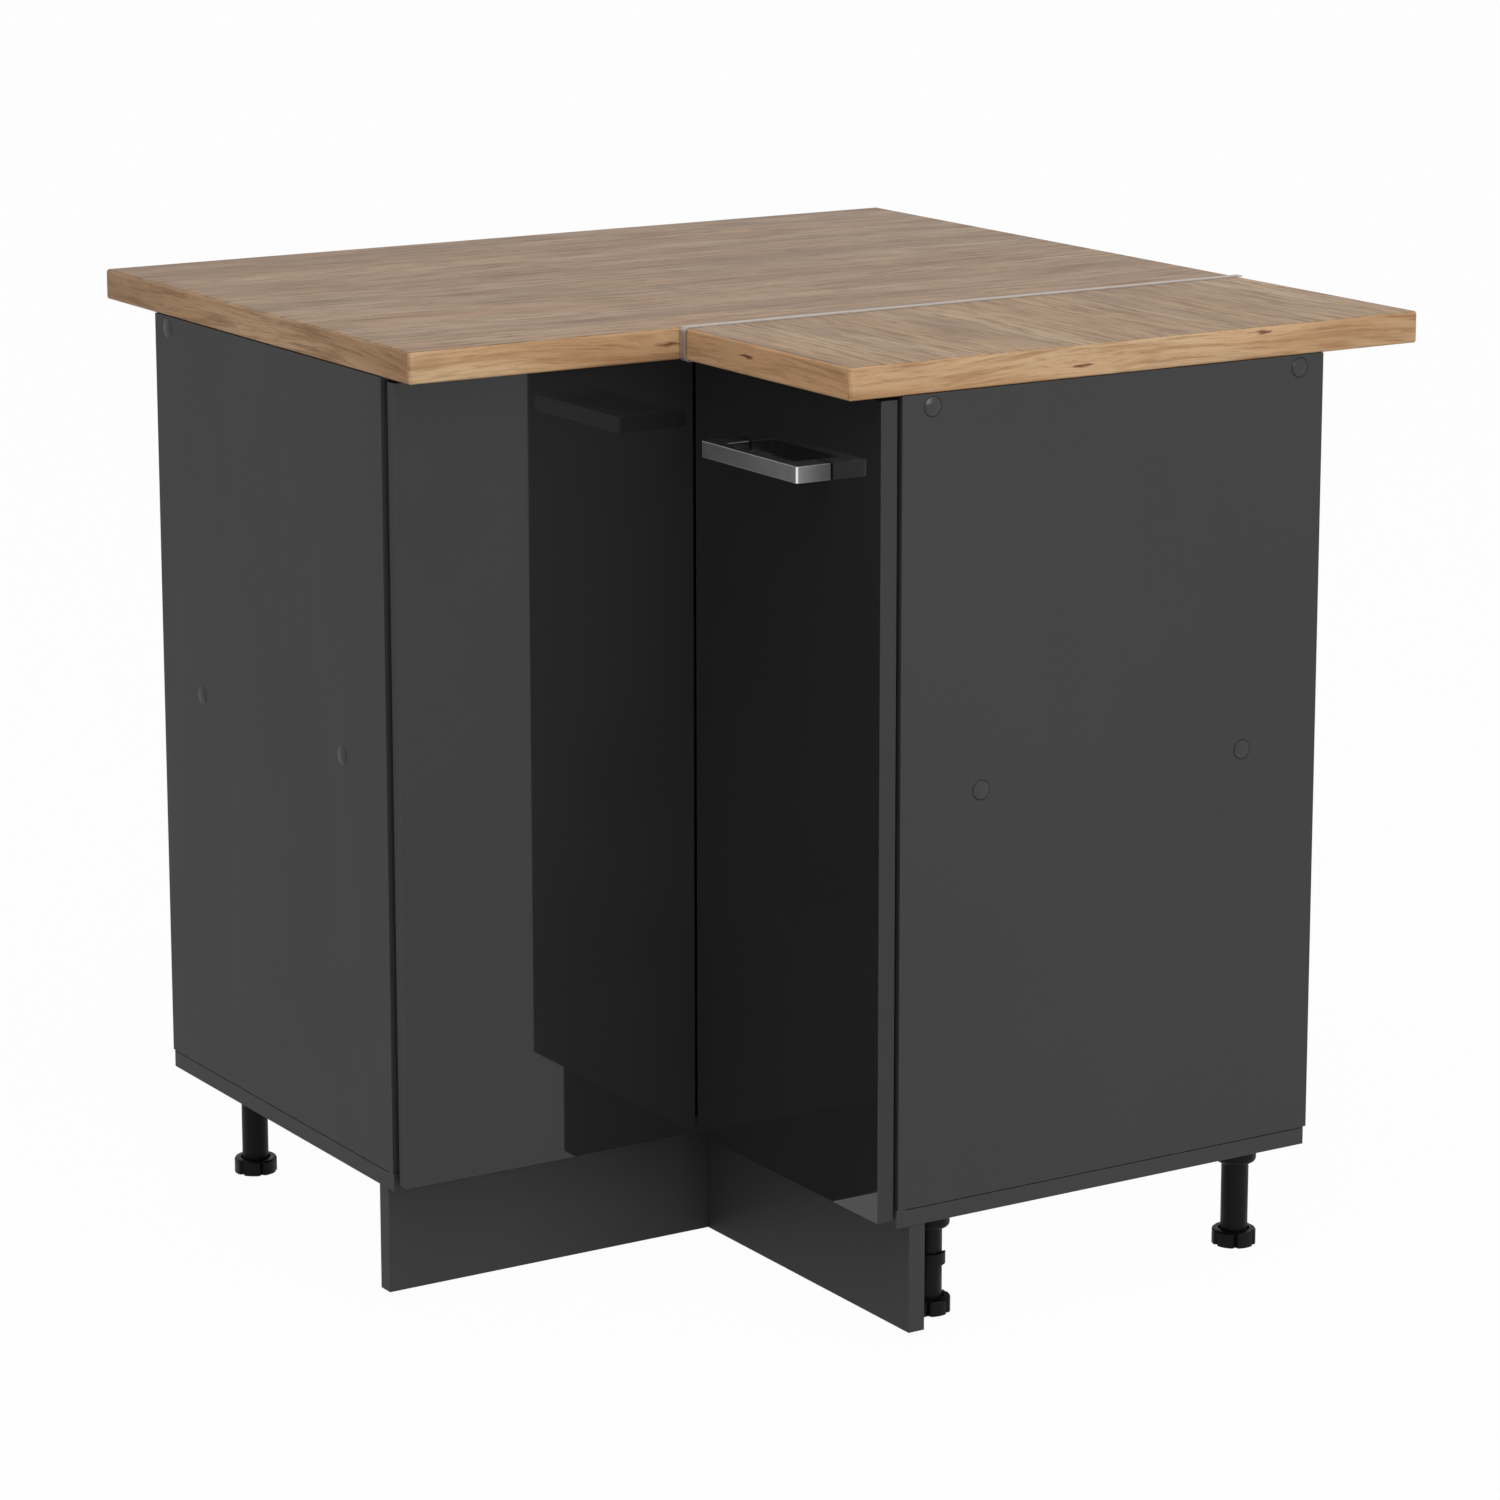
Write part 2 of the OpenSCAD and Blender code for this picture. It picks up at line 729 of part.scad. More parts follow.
// Dowels across the joint of the left front rail and its side panel
module end_dowels(slack) {
  for (part = [1, 3])
    bar_x([board_t - end_dowel_in - slack, rail_front + part * front_rail_w / 4,
           rail_z + rail_t / 2],
          dowel_d / 2 + min(slack, fit), dowel_len + 2 * slack);
}

module left_front_rail() {
  color(colour_inside) in_unit() difference() {
    rail(rail_front, front_rail_w, rail_front + front_rail_w, left_first_link);
    front_dowels(board_clear);
    end_dowels(board_clear);
  }
}

module right_front_rail() {
  color(colour_inside) in_unit() difference() {
    right_wing() rail(rail_front, front_rail_w, rail_front);
    front_dowels(board_clear);
  }
}

module left_rear_rail() {
  color(colour_inside) in_unit() difference() {
    rail(panel_back - rear_rail_w, rear_rail_w, panel_back);
    right_wing() at_back_screws() back_screw_hole();
    rear_dowels(board_clear);
  }
}

module right_rear_rail() {
  color(colour_inside) in_unit() difference() {
    right_wing() rail(panel_back - rear_rail_w, rear_rail_w, panel_back - rear_rail_w);
    rear_dowels(board_clear);
  }
}

module rail_dowels() {
  color(colour_wood) in_unit() {
    front_dowels(0);
    rear_dowels(0);
    end_dowels(0);
  }
}

module rear_corner_post() {
  color(colour_wood) in_unit() difference() {
    box([panel_back - post_w, panel_back - post_w, side_z], [panel_back, panel_back, rail_z]);
    at_back_screws() back_screw_hole();
    right_wing() at_back_screws() back_screw_hole();
  }
}

// A back panel of the left wing, from the rebate of the side panel to end_x
module back_panel(end_x) {
  difference() {
    box([board_t - back_lap, panel_back, carcass_z + back_margin],
        [end_x, carcass_len, carcass_top - back_margin]);
    at_back_screws() back_screw_hole();
  }
}

module left_back_panel() {
  color(colour_back) in_unit() back_panel(carcass_len);
}

module right_back_panel() {
  color(colour_back) in_unit() right_wing() back_panel(panel_back);
}

module back_screw() {
  translate([0, 0, -back_head_h]) cylinder(d = back_head_d, h = back_head_h);
  bar_z([0, 0, 0], back_screw_d / 2, back_screw_len);
}

module back_panel_screws() {
  color(colour_steel) in_unit() {
    at_back_screws() back_screw();
    right_wing() at_back_screws() back_screw();
  }
}

module connecting_screws() {
  color(colour_steel) in_unit() {
    at_link_points(left_first_link) link_screw();
    at_upright_links() link_screw();
    right_wing() at_link_points() link_screw();
    right_wing() at_upright_links() link_screw();
  }
}

module cover_cap() {
  translate([0, 0, -cap_proud]) cylinder(d = cap_d, h = cap_proud);
  bar_z([0, 0, -cap_proud / 2], cap_spigot_d / 2, cap_proud / 2 + cap_spigot_h);
}

module screw_cover_caps() {
  color(colour_panel) in_unit() {
    at_link_points(left_first_link) cover_cap();
    right_wing() at_link_points() cover_cap();
  }
}

// Something drawn around z = 0, at the height of each hinge
module at_hinges() {
  for (z = hinge_zs) translate([0, 0, z]) children();
}

// Holes of one hinge cup in the left door
module cup_holes() {
  bar_y([cup_x, door_back - cup_depth, 0], cup_r, cup_depth + eps);
  for (side = [-1, 1])
    bar_y([cup_x, door_back - screw_in_board, side * cup_screw_z], small_screw_d / 2 + fit,
          screw_in_board + eps);
}

// Screw positions of a leaf on the left door, drawn along -Y from the leaf's face
module at_leaf_screws() {
  for (d = leaf_screws_in, side = [-1, 1])
    translate([leaf_free + d, door_back + leaf_t, side * leaf_screw_z]) rotate([90, 0, 0])
      children();
}

// Small countersunk screw along +Z, its head on the surface at z = 0
module small_screw(board) {
  translate([0, 0, -small_head_h])
    cylinder(d1 = small_head_d * 0.7, d2 = small_head_d, h = small_head_h);
  bar_z([0, 0, 0], small_screw_d / 2, board + screw_in_board - screw_room);
}

module small_screw_hole(board) {
  bar_z([0, 0, -eps], small_screw_d / 2 + fit, board + screw_in_board + eps);
}

module left_door() {
  color(colour_gloss) in_unit() difference() {
    translate([0, 0, door_z]) linear_extrude(height = door_h)
      polygon([[door_reveal, door_front], [left_door_end, door_front],
               [left_door_end, door_back], [door_reveal + hinge_bevel, door_back],
               [door_reveal, door_back - hinge_bevel]]);
    at_hinges() {
      cup_holes();
      at_leaf_screws() small_screw_hole(leaf_t);
    }
  }
}

// Screw positions of the handle, drawn along -X from the back of the right door
module at_handle_screws() {
  for (side = [-1, 1])
    translate([door_back, handle_y + side * handle_spacing / 2, handle_z])
      rotate([0, -90, 0]) children();
}

module right_door() {
  color(colour_gloss) in_unit() difference() {
    box([door_front, door_reveal, door_z], [door_back, right_door_end, door_top]);
    at_handle_screws() bar_z([0, 0, -eps], handle_screw_d / 2 + fit, door_t + 2 * eps);
    at_hinges() right_wing() at_leaf_screws() small_screw_hole(leaf_t);
  }
}

// Bridge handle: two legs and a bar with one continuous rectangular section
module handle() {
  half = (handle_spacing + handle_leg_w) / 2;
  open = (handle_spacing - handle_leg_w) / 2;
  reach = door_front - handle_reach;
  color(colour_steel) in_unit() difference() {
    translate([0, handle_y, handle_z - handle_h / 2]) linear_extrude(height = handle_h)
      polygon([[door_front, -half], [reach + handle_bevel, -half], [reach, handle_bevel - half],
               [reach, half - handle_bevel], [reach + handle_bevel, half], [door_front, half],
               [door_front, open], [reach + handle_bar_t, open],
               [reach + handle_bar_t, -open], [door_front, -open]]);
    at_handle_screws()
      bar_z([0, 0, door_t - eps], handle_screw_d / 2 + fit, handle_thread + eps);
  }
}

module handle_screws() {
  color(colour_steel) in_unit() at_handle_screws() {
    translate([0, 0, -handle_head.y]) cylinder(d = handle_head.x, h = handle_head.y);
    bar_z([0, 0, 0], handle_screw_d / 2, door_t + handle_thread - screw_room);
  }
}

module door_bumpers() {
  color("#d8d8d8") in_unit() {
    for (x = left_bumper_xs)
      bar_y([x, bottom_front - bumper_t, bumper_z], bumper_d / 2, bumper_t);
    for (y = right_bumper_ys)
      bar_x([bottom_front - bumper_t, y, bumper_z], bumper_d / 2, bumper_t);
  }
}

// Screws of one hinge plate, drawn along -X from the face of its wings
module at_plate_screws() {
  for (side = [-1, 1])
    translate([board_t + plate_wing_t, carcass_front + plate_screw_set, side * plate_screw_z])
      rotate([0, -90, 0]) children();
}

module plate_screw_holes() {
  at_plate_screws() small_screw_hole(plate_wing_t);
}

// The screw that clamps a hinge arm to its plate, drawn along -X from the arm's face
module at_arm_screw() {
  translate([arm_x + arm_t / 2, plate_rear() - arm_screw_back, 0]) rotate([0, -90, 0])
    children();
}

function plate_rear() = carcass_front + plate_screw_set + plate_block_len / 2;

module hinge_plate() {
  screw_y = carcass_front + plate_screw_set;
  color(colour_steel) in_unit() difference() {
    union() {
      box([board_t, screw_y - plate_wing.x / 2, -plate_wing.y / 2],
          [board_t + plate_wing_t, screw_y + plate_wing.x / 2, plate_wing.y / 2]);
      box([board_t, plate_rear() - plate_block_len, -arm_h / 2],
          [arm_x - arm_t / 2, plate_rear(), arm_h / 2]);
    }
    plate_screw_holes();
    at_arm_screw() bar_z([0, 0, 0], arm_screw_d / 2 + fit, arm_t + arm_screw_bite + screw_room);
  }
}

module lower_hinge_plate() {
  translate([0, 0, lower_hinge_z]) hinge_plate();
}

module upper_hinge_plate() {
  translate([0, 0, upper_hinge_z]) hinge_plate();
}

// Hinge arm: a knuckle round the pin, a short leg inside the cup and a long leg that
// lies on the hinge plate
module hinge_arm() {
  color(colour_steel) in_unit() difference() {
    union() {
      bar_z([pivot.x, pivot.y, -arm_h / 2], knuckle_r, arm_h);
      box([pivot.x, pivot.y - knuckle_r, -arm_h / 2],
          [arm_x + arm_t / 2, pivot.y + arm_lead, arm_h / 2]);
      box([arm_x - arm_t / 2, pivot.y - knuckle_r, -arm_h / 2],
          [arm_x + arm_t / 2, plate_rear(), arm_h / 2]);
    }
    bar_z([pivot.x, pivot.y, -arm_h], hinge_pin_d / 2 + fit, 2 * arm_h);
    at_arm_screw() bar_z([0, 0, -eps], arm_screw_d / 2 + fit, arm_t + 2 * eps);
  }
}

module lower_hinge_arm() {
  translate([0, 0, lower_hinge_z]) hinge_arm();
}

module upper_hinge_arm() {
  translate([0, 0, upper_hinge_z]) hinge_arm();
}

module hinge_cup() {
  color(colour_steel) in_unit() difference() {
    union() {
      bar_y([cup_x, door_back - cup_depth, 0], cup_body_r, cup_depth);
      box([cup_x - cup_wing.x / 2, door_back, -cup_wing.y / 2],
          [cup_x + cup_wing.x / 2, door_back + cup_wing_t, cup_wing.y / 2]);
    }
    bar_y([cup_x, door_back - cup_depth + cup_floor, 0], cup_inner_r, cup_depth + 2 * eps);
    for (side = [-1, 1])
      bar_y([cup_x, door_back - eps, side * cup_screw_z], small_screw_d / 2 + fit, 3 * eps);
    bar_z([pivot.x, pivot.y, -pin_half], hinge_pin_d / 2, 2 * pin_half);
  }
}

module lower_hinge_cup() {
  translate([0, 0, lower_hinge_z]) hinge_cup();
}

module upper_hinge_cup() {
  translate([0, 0, upper_hinge_z]) hinge_cup();
}

module side_hinge_pins() {
  color(colour_steel) in_unit() at_hinges()
    bar_z([pivot.x, pivot.y, -pin_half], hinge_pin_d / 2, 2 * pin_half);
}

module hinge_plate_screws() {
  color(colour_steel) in_unit() at_hinges() {
    at_plate_screws() small_screw(plate_wing_t);
    at_arm_screw() {
      translate([0, 0, -small_head_h]) cylinder(d = small_head_d, h = small_head_h);
      bar_z([0, 0, 0], arm_screw_d / 2, arm_t + arm_screw_bite);
    }
  }
}

// One leaf of a fold hinge, on the back of the left door. Its knuckles fill the
// height ranges in spans
module fold_leaf(spans) {
  difference() {
    union() {
      box([leaf_free, door_back, -leaf_h / 2], [leaf_root, door_back + leaf_t, leaf_h / 2]);
      for (s = spans) {
        box([leaf_root - eps, door_back, s[0]], [fold_axis, door_back + leaf_t, s[1]]);
        bar_z([fold_axis, fold_axis, s[0]], fold_knuckle_r, s[1] - s[0]);
      }
    }
    at_leaf_screws() small_screw_hole(leaf_t);
    children();
  }
}

function outer_spans() = [
  [-leaf_h / 2, -leaf_h / 6 - knuckle_gap / 2],
  [leaf_h / 6 + knuckle_gap / 2, leaf_h / 2]
];
function middle_span() = [[-leaf_h / 6 + knuckle_gap / 2, leaf_h / 6 - knuckle_gap / 2]];

module fold_leaf_left() {
  color(colour_steel) in_unit() fold_leaf(outer_spans())
    bar_z([fold_axis, fold_axis, -leaf_h], fold_pin_d / 2, 2 * leaf_h);
}

module fold_leaf_right() {
  color(colour_steel) in_unit() right_wing() fold_leaf(middle_span())
    bar_z([fold_axis, fold_axis, -leaf_h], fold_pin_d / 2 + fit, 2 * leaf_h);
}

module lower_fold_leaf_left() {
  translate([0, 0, lower_hinge_z]) fold_leaf_left();
}

module upper_fold_leaf_left() {
  translate([0, 0, upper_hinge_z]) fold_leaf_left();
}

module lower_fold_leaf_right() {
  translate([0, 0, lower_hinge_z]) fold_leaf_right();
}

module upper_fold_leaf_right() {
  translate([0, 0, upper_hinge_z]) fold_leaf_right();
}

module fold_hinge_pins() {
  color(colour_steel) in_unit() at_hinges()
    bar_z([fold_axis, fold_axis, -leaf_h / 2], fold_pin_d / 2, leaf_h);
}

module left_door_hinge_screws() {
  color(colour_steel) in_unit() at_hinges() {
    at_leaf_screws() small_screw(leaf_t);
    for (side = [-1, 1])
      translate([cup_x, door_back + cup_wing_t, side * cup_screw_z]) rotate([90, 0, 0])
        small_screw(cup_wing_t);
  }
}

module right_door_hinge_screws() {
  color(colour_steel) in_unit() at_hinges() right_wing()
    at_leaf_screws() small_screw(leaf_t);
}

// Screw positions on the back of the left plinth for its clip, drawn along -Y
module at_clip_screws() {
  for (side = [-1, 1])
    translate([leg_side, plinth_back + clip_base.y, clip_mid() + side * clip_screw_z])
      rotate([90, 0, 0]) children();
}

function clip_mid() = clip_top - clip_h / 2;

// Screw positions of the plate behind the corner of the plinth, drawn along -X
module at_corner_screws() {
  for (y = [plinth_front + plinth_t / 2, plinth_front - corner_plate.y / 2], side = [-1, 1])
    translate([plinth_back + corner_plate.x, y, clip_mid() + side * corner_screw_z])
      rotate([0, -90, 0]) children();
}

module left_plinth() {
  color(colour_plinth) in_unit() difference() {
    box([plinth_end, plinth_front, plinth_z],
        [plinth_back, plinth_back, plinth_z + plinth_h]);
    at_clip_screws() small_screw_hole(clip_base.y);
    at_corner_screws() small_screw_hole(corner_plate.x);
  }
}

module right_plinth() {
  color(colour_plinth) in_unit() difference() {
    box([plinth_front, plinth_end, plinth_z],
        [plinth_back, plinth_front, plinth_z + plinth_h]);
    right_wing() at_clip_screws() small_screw_hole(clip_base.y);
    at_corner_screws() small_screw_hole(corner_plate.x);
  }
}

// Clip of the left plinth: a split ring round the leg tube, an arm and a base plate
module plinth_clip() {
  leg = [leg_side, carcass_front + leg_front];
  ring_r = tube_r + fit + clip_wall;
  low = clip_top - clip_h;
  difference() {
    union() {
      bar_z([leg.x, leg.y, low], ring_r, clip_h);
      box([leg.x - clip_arm_w / 2, plinth_back, low], [leg.x + clip_arm_w / 2, leg.y, clip_top]);
      box([leg.x - clip_base.x / 2, plinth_back, clip_mid() - clip_base.z / 2],
          [leg.x + clip_base.x / 2, plinth_back + clip_base.y, clip_mid() + clip_base.z / 2]);
    }
    bar_z([leg.x, leg.y, low - eps], tube_r + fit, clip_h + 2 * eps);
    box([leg.x - clip_mouth / 2, leg.y, low - eps],
        [leg.x + clip_mouth / 2, leg.y + 2 * ring_r, clip_top + eps]);
    at_clip_screws() small_screw_hole(clip_base.y);
  }
}

module left_plinth_clip() {
  color(colour_plastic) in_unit() plinth_clip();
}

module right_plinth_clip() {
  color(colour_plastic) in_unit() right_wing() plinth_clip();
}

module plinth_corner_plate() {
  color(colour_steel) in_unit() difference() {
    box([plinth_back, plinth_back - corner_plate_end - corner_plate.y,
         clip_mid() - corner_plate.z / 2],
        [plinth_back + corner_plate.x, plinth_back - corner_plate_end,
         clip_mid() + corner_plate.z / 2]);
    at_corner_screws() small_screw_hole(corner_plate.x);
  }
}

module plinth_screws() {
  color(colour_steel) in_unit() {
    at_clip_screws() small_screw(clip_base.y);
    right_wing() at_clip_screws() small_screw(clip_base.y);
    at_corner_screws() small_screw(corner_plate.x);
  }
}

// Something drawn round the axis of a leg, at one leg or at all of them
module at_leg(i) {
  translate([legs[i].x, legs[i].y, 0]) rotate([0, 0, legs[i].z]) children();
}

module at_legs() {
  for (i = [0 : len(legs) - 1]) at_leg(i) children();
}

// Half outline of a round body whose lower outer edge is rounded
module rounded_half(r, h, round_r) {
  translate([0, round_r]) square([r, h - round_r]);
  square([r - round_r, h]);
  translate([r - round_r, round_r]) circle(r = round_r);
}

module leg_socket() {
  difference() {
    union() {
      translate([0, 0, carcass_z - socket_h]) rotate_extrude()
        intersection() {
          rounded_half(socket_r, socket_h, leg_round_r);
          square([socket_r, socket_h]);
        }
      for (side = [-1, 1]) {
        bar_z([side * (socket_plate_len / 2 - socket_r), 0, tube_top], socket_r, socket_plate_t);
        bar_z([side * plug_spacing / 2, 0, carcass_z - eps], plug_r, plug_h + eps);
      }
      box([socket_r - socket_plate_len / 2, -socket_r, tube_top],
          [socket_plate_len / 2 - socket_r, socket_r, carcass_z]);
    }
    bar_z([0, 0, carcass_z - socket_h - eps], tube_r + fit, socket_h - socket_plate_t + eps);
  }
}

module leg_sockets() {
  color(colour_plastic) in_unit() at_legs() leg_socket();
}

module leg_tube(i) {
  color(colour_plastic) in_unit() at_leg(i) difference() {
    bar_z([0, 0, tube_lift], tube_r, tube_top - tube_lift);
    bar_z([0, 0, tube_lift - eps], stem_r + fit, stem_bore_h + eps);
  }
}

// Levelling foot: a cup with notches in its rim and a stem that screws into the tube
module foot(i) {
  color(colour_plastic) in_unit()
  translate([legs[i].x, legs[i].y, 0]) rotate([0, 0, foot_turns[i]]) {
    difference() {
      rotate_extrude() intersection() {
        translate([0, foot_h]) mirror([0, 1]) rounded_half(foot_r, foot_h, foot_round_r);
        square([foot_r, foot_h]);
      }
      bar_z([0, 0, foot_floor], foot_recess_r, foot_h);
      for (k = [0 : notch_count - 1])
        rotate([0, 0, k * 360 / notch_count]) translate([foot_r, 0, -eps])
          cylinder(r = notch_depth, h = foot_h + 2 * eps, $fn = 4);
    }
    bar_z([0, 0, foot_floor - eps], stem_r, stem_len + eps);
  }
}

worktop_main();
worktop_wing();
worktop_joint_strip();
worktop_joint_bolts();
worktop_fixing_screws();
left_side_panel();
right_side_panel();
bottom_board();
fixed_shelf();
left_front_rail();
right_front_rail();
left_rear_rail();
right_rear_rail();
rear_corner_post();
left_back_panel();
right_back_panel();
back_panel_screws();
connecting_screws();
screw_cover_caps();
rail_dowels();
left_door();
right_door();
handle();
handle_screws();
door_bumpers();
lower_hinge_plate();
upper_hinge_plate();
lower_hinge_arm();
upper_hinge_arm();
lower_hinge_cup();
upper_hinge_cup();
side_hinge_pins();
hinge_plate_screws();
lower_fold_leaf_left();
upper_fold_leaf_left();
lower_fold_leaf_right();
upper_fold_leaf_right();
fold_hinge_pins();
left_door_hinge_screws();
right_door_hinge_screws();
left_plinth();
right_plinth();
left_plinth_clip();
right_plinth_clip();
plinth_corner_plate();
plinth_screws();
leg_sockets();
leg_tube(0);  // left_rear_leg_tube
leg_tube(1);  // left_front_leg_tube
leg_tube(2);  // inner_corner_leg_tube
leg_tube(3);  // right_front_leg_tube
leg_tube(4);  // right_rear_leg_tube
leg_tube(5);  // wall_corner_leg_tube
foot(0);  // left_rear_foot
foot(1);  // left_front_foot
foot(2);  // inner_corner_foot
foot(3);  // right_front_foot
foot(4);  // right_rear_foot
foot(5);  // wall_corner_foot
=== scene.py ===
import json
import math

import bmesh
import bpy
from mathutils import Matrix, Vector


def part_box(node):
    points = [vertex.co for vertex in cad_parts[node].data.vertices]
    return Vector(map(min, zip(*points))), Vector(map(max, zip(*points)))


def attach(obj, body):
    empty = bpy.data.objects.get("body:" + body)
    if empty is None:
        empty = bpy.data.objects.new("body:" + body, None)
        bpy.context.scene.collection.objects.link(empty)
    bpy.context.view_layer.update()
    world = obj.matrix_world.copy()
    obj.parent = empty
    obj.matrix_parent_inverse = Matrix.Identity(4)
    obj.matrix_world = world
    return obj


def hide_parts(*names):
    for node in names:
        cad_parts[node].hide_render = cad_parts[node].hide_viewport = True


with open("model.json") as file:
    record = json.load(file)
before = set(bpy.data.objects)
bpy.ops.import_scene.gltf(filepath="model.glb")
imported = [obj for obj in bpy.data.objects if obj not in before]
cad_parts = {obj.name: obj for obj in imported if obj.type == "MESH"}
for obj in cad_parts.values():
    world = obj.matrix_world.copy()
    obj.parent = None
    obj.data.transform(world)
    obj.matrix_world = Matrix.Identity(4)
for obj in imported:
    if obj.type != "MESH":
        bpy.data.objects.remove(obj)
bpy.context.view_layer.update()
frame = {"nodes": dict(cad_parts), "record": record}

MM = 0.001
UNIT_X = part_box("worktop_main")[0].x  # where the left wing ends
UNIT_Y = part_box("worktop_wing")[0].y  # where the right wing ends
MERGE_DISTANCE = 0.00002  # points that lie closer than this become one point
FLAT_ANGLE = math.radians(0.6)  # faces that meet at less than this become one face
TINY = 0.00001  # slack when a point is compared with an end of its piece
LOOSE, CLOSE, STRICT = 0.3, 0.8, 0.9  # how far a normal agrees with a direction, 1 being all the way


def spot(x, y, z):
    """A point given in millimetres from the ends of the wings and from the floor."""
    return Vector((UNIT_X + x * MM, UNIT_Y + y * MM, z * MM))


# Modelling helpers


def only(*objects):
    """Selects these objects and nothing else, the first one active."""
    bpy.ops.object.select_all(action="DESELECT")
    for o in objects:
        o.select_set(True)
    bpy.context.view_layer.objects.active = objects[0]


def edit(piece):
    """Opens a piece in edit mode with nothing selected."""
    only(piece)
    bpy.ops.object.mode_set(mode="EDIT")
    bpy.ops.mesh.select_all(action="DESELECT")


def leave_edit():
    bpy.ops.object.mode_set(mode="OBJECT")


def pick(piece, test, kind, parts):
    """Selects, in edit mode, only the parts of one kind that pass the test."""
    bpy.ops.mesh.select_all(action="DESELECT")
    bpy.ops.mesh.select_mode(type=kind)
    for part in getattr(bmesh.from_edit_mesh(piece.data), parts):
        if test(part):
            part.select_set(True)
    bmesh.update_edit_mesh(piece.data)


def pick_faces(piece, test):
    pick(piece, test, "FACE", "faces")


def pick_edges(piece, test):
    pick(piece, test, "EDGE", "edges")


def cut_whole(corner, way, **settings):
    """Cuts the whole piece in edit mode along the plane through corner that looks in direction way."""
    bpy.ops.mesh.select_all(action="SELECT")
    bpy.ops.mesh.bisect(plane_co=corner, plane_no=way, **settings)


def soften(piece, width, segments=2, limit=35):
    """Rounds the edges sharper than limit, in degrees, by width in metres and shades the piece smooth, with
    its flat faces kept flat."""
    only(piece)
    bpy.ops.object.shade_smooth_by_angle(angle=math.radians(limit))
    rounding = piece.modifiers.new("rounded edges", "BEVEL")
    rounding.width = width
    rounding.segments = segments
    rounding.limit_method = "ANGLE"
    rounding.angle_limit = math.radians(limit)
    rounding.harden_normals = True
    bpy.ops.object.modifier_apply(modifier=rounding.name)
    return piece


def merged_copy(node, name):
    """A new object with a merged and cleaned copy of a CAD node's mesh."""
    piece = bpy.data.objects.new(name, frame["nodes"][node].data.copy())
    bpy.context.scene.collection.objects.link(piece)
    piece.data.materials.clear()
    edit(piece)
    bpy.ops.mesh.select_all(action="SELECT")
    bpy.ops.mesh.remove_doubles(threshold=MERGE_DISTANCE)
    bpy.ops.mesh.dissolve_limited(angle_limit=FLAT_ANGLE)
    leave_edit()
    bpy.ops.mesh.customdata_custom_splitnormals_clear()
    return piece


def body_of_node(node):
    return next(b for b, nodes in frame["record"]["behaviour"]["bodies"].items() if node in nodes)


def stand_for(piece, node):
    """The piece moves with the node's body and hides the node."""
    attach(piece, body_of_node(node))
    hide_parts(node)
    return piece


def wear(piece, material, *others):
    """Gives the piece its main material, and others as (material, test of a face) in turn."""
    piece.data.materials.clear()
    piece.data.materials.append(material)
    for m, _ in others:
        piece.data.materials.append(m)
    for face in piece.data.polygons:
        face.material_index = 0
        for i, (_, test) in enumerate(others):
            if test(face):
                face.material_index = i + 1
                break
    return piece


def towards(x, y, z, least=CLOSE):
    """A test of a face: it looks in this direction, as far as least says."""
    way = Vector((x, y, z))
    return lambda face: face.normal.dot(way) > least


def refined(node, name, slot, material, *others, rounding=0.4, segments=2, limit=35):
    """A smooth copy of a CAD node with rounded edges, rounding in millimetres, that stands for it."""
    piece = soften(merged_copy(node, name), rounding * MM, segments, limit)
    wear(piece, material, *others)
    return stand_for(piece, node)


def solids_of(node):
    """For each solid of a node of screws or caps, read from the node's own mesh: its middle line's start at
    the head, its direction into the part, its length and its radius."""
    piece = merged_copy(node, "solids_for_reading")
    mesh = bmesh.new()
    mesh.from_mesh(piece.data)
    mesh.verts.ensure_lookup_table()
    seen, found = set(), []
    for start in mesh.verts:
        if start in seen:
            continue
        seen.add(start)
        todo, points = [start], []
        while todo:
            v = todo.pop()
            points.append(v.co.copy())
            for e in v.link_edges:
                w = e.other_vert(v)
                if w not in seen:
                    seen.add(w)
                    todo.append(w)
        low = Vector([min(p[i] for p in points) for i in range(3)])
        high = Vector([max(p[i] for p in points) for i in range(3)])
        size = high - low
        centre = (low + high) / 2
        # the axis is the direction in which the other two sizes agree best
        axis = min(range(3), key=lambda i: abs(size[(i + 1) % 3] - size[(i + 2) % 3]))
        reach = {}
        for end in (low[axis], high[axis]):
            near_end = [p - centre for p in points if abs(p[axis] - end) < 0.35 * size[axis]]
            for p in near_end:
                p[axis] = 0
            reach[end] = max(p.length for p in near_end)
        head = low[axis] if reach[low[axis]] > reach[high[axis]] else high[axis]
        top = centre.copy()
        top[axis] = head
        way = Vector((0, 0, 0))
        way[axis] = 1 if head == low[axis] else -1
        found.append((top, way, size[axis], max(reach.values())))
    mesh.free()
    bpy.data.objects.remove(piece)
    return found


def joined(pieces, name):
    """One piece made of all these pieces."""
    only(*pieces)
    if len(pieces) > 1:
        bpy.ops.object.join()
    pieces[0].name = name
    return pieces[0]


def copies_at(template, name, places):
    """One piece made of copies of a template, which is drawn from the origin along +Z and goes after that.
    Each copy is turned and moved to its place, given as (start, direction)."""
    made = []
    for start, way in places:
        one = bpy.data.objects.new(name, template.data.copy())
        bpy.context.scene.collection.objects.link(one)
        one.data.transform(Matrix.Translation(start) @ way.to_track_quat("Z", "Y").to_matrix().to_4x4())
        made.append(one)
    bpy.data.objects.remove(template)
    return joined(made, name)


# Node helpers


def tint(r, g, b):
    """A colour given as it looks on screen, 0 to 255, as the linear colour that a shader takes."""
    shares = [c / 255 for c in (r, g, b)]
    linear = [s / 12.92 if s <= 0.04045 else ((s + 0.055) / 1.055) ** 2.4 for s in shares]
    return (*linear, 1.0)


def brighter(colour, factor):
    return (*(min(1.0, c * factor) for c in colour[:3]), 1.0)


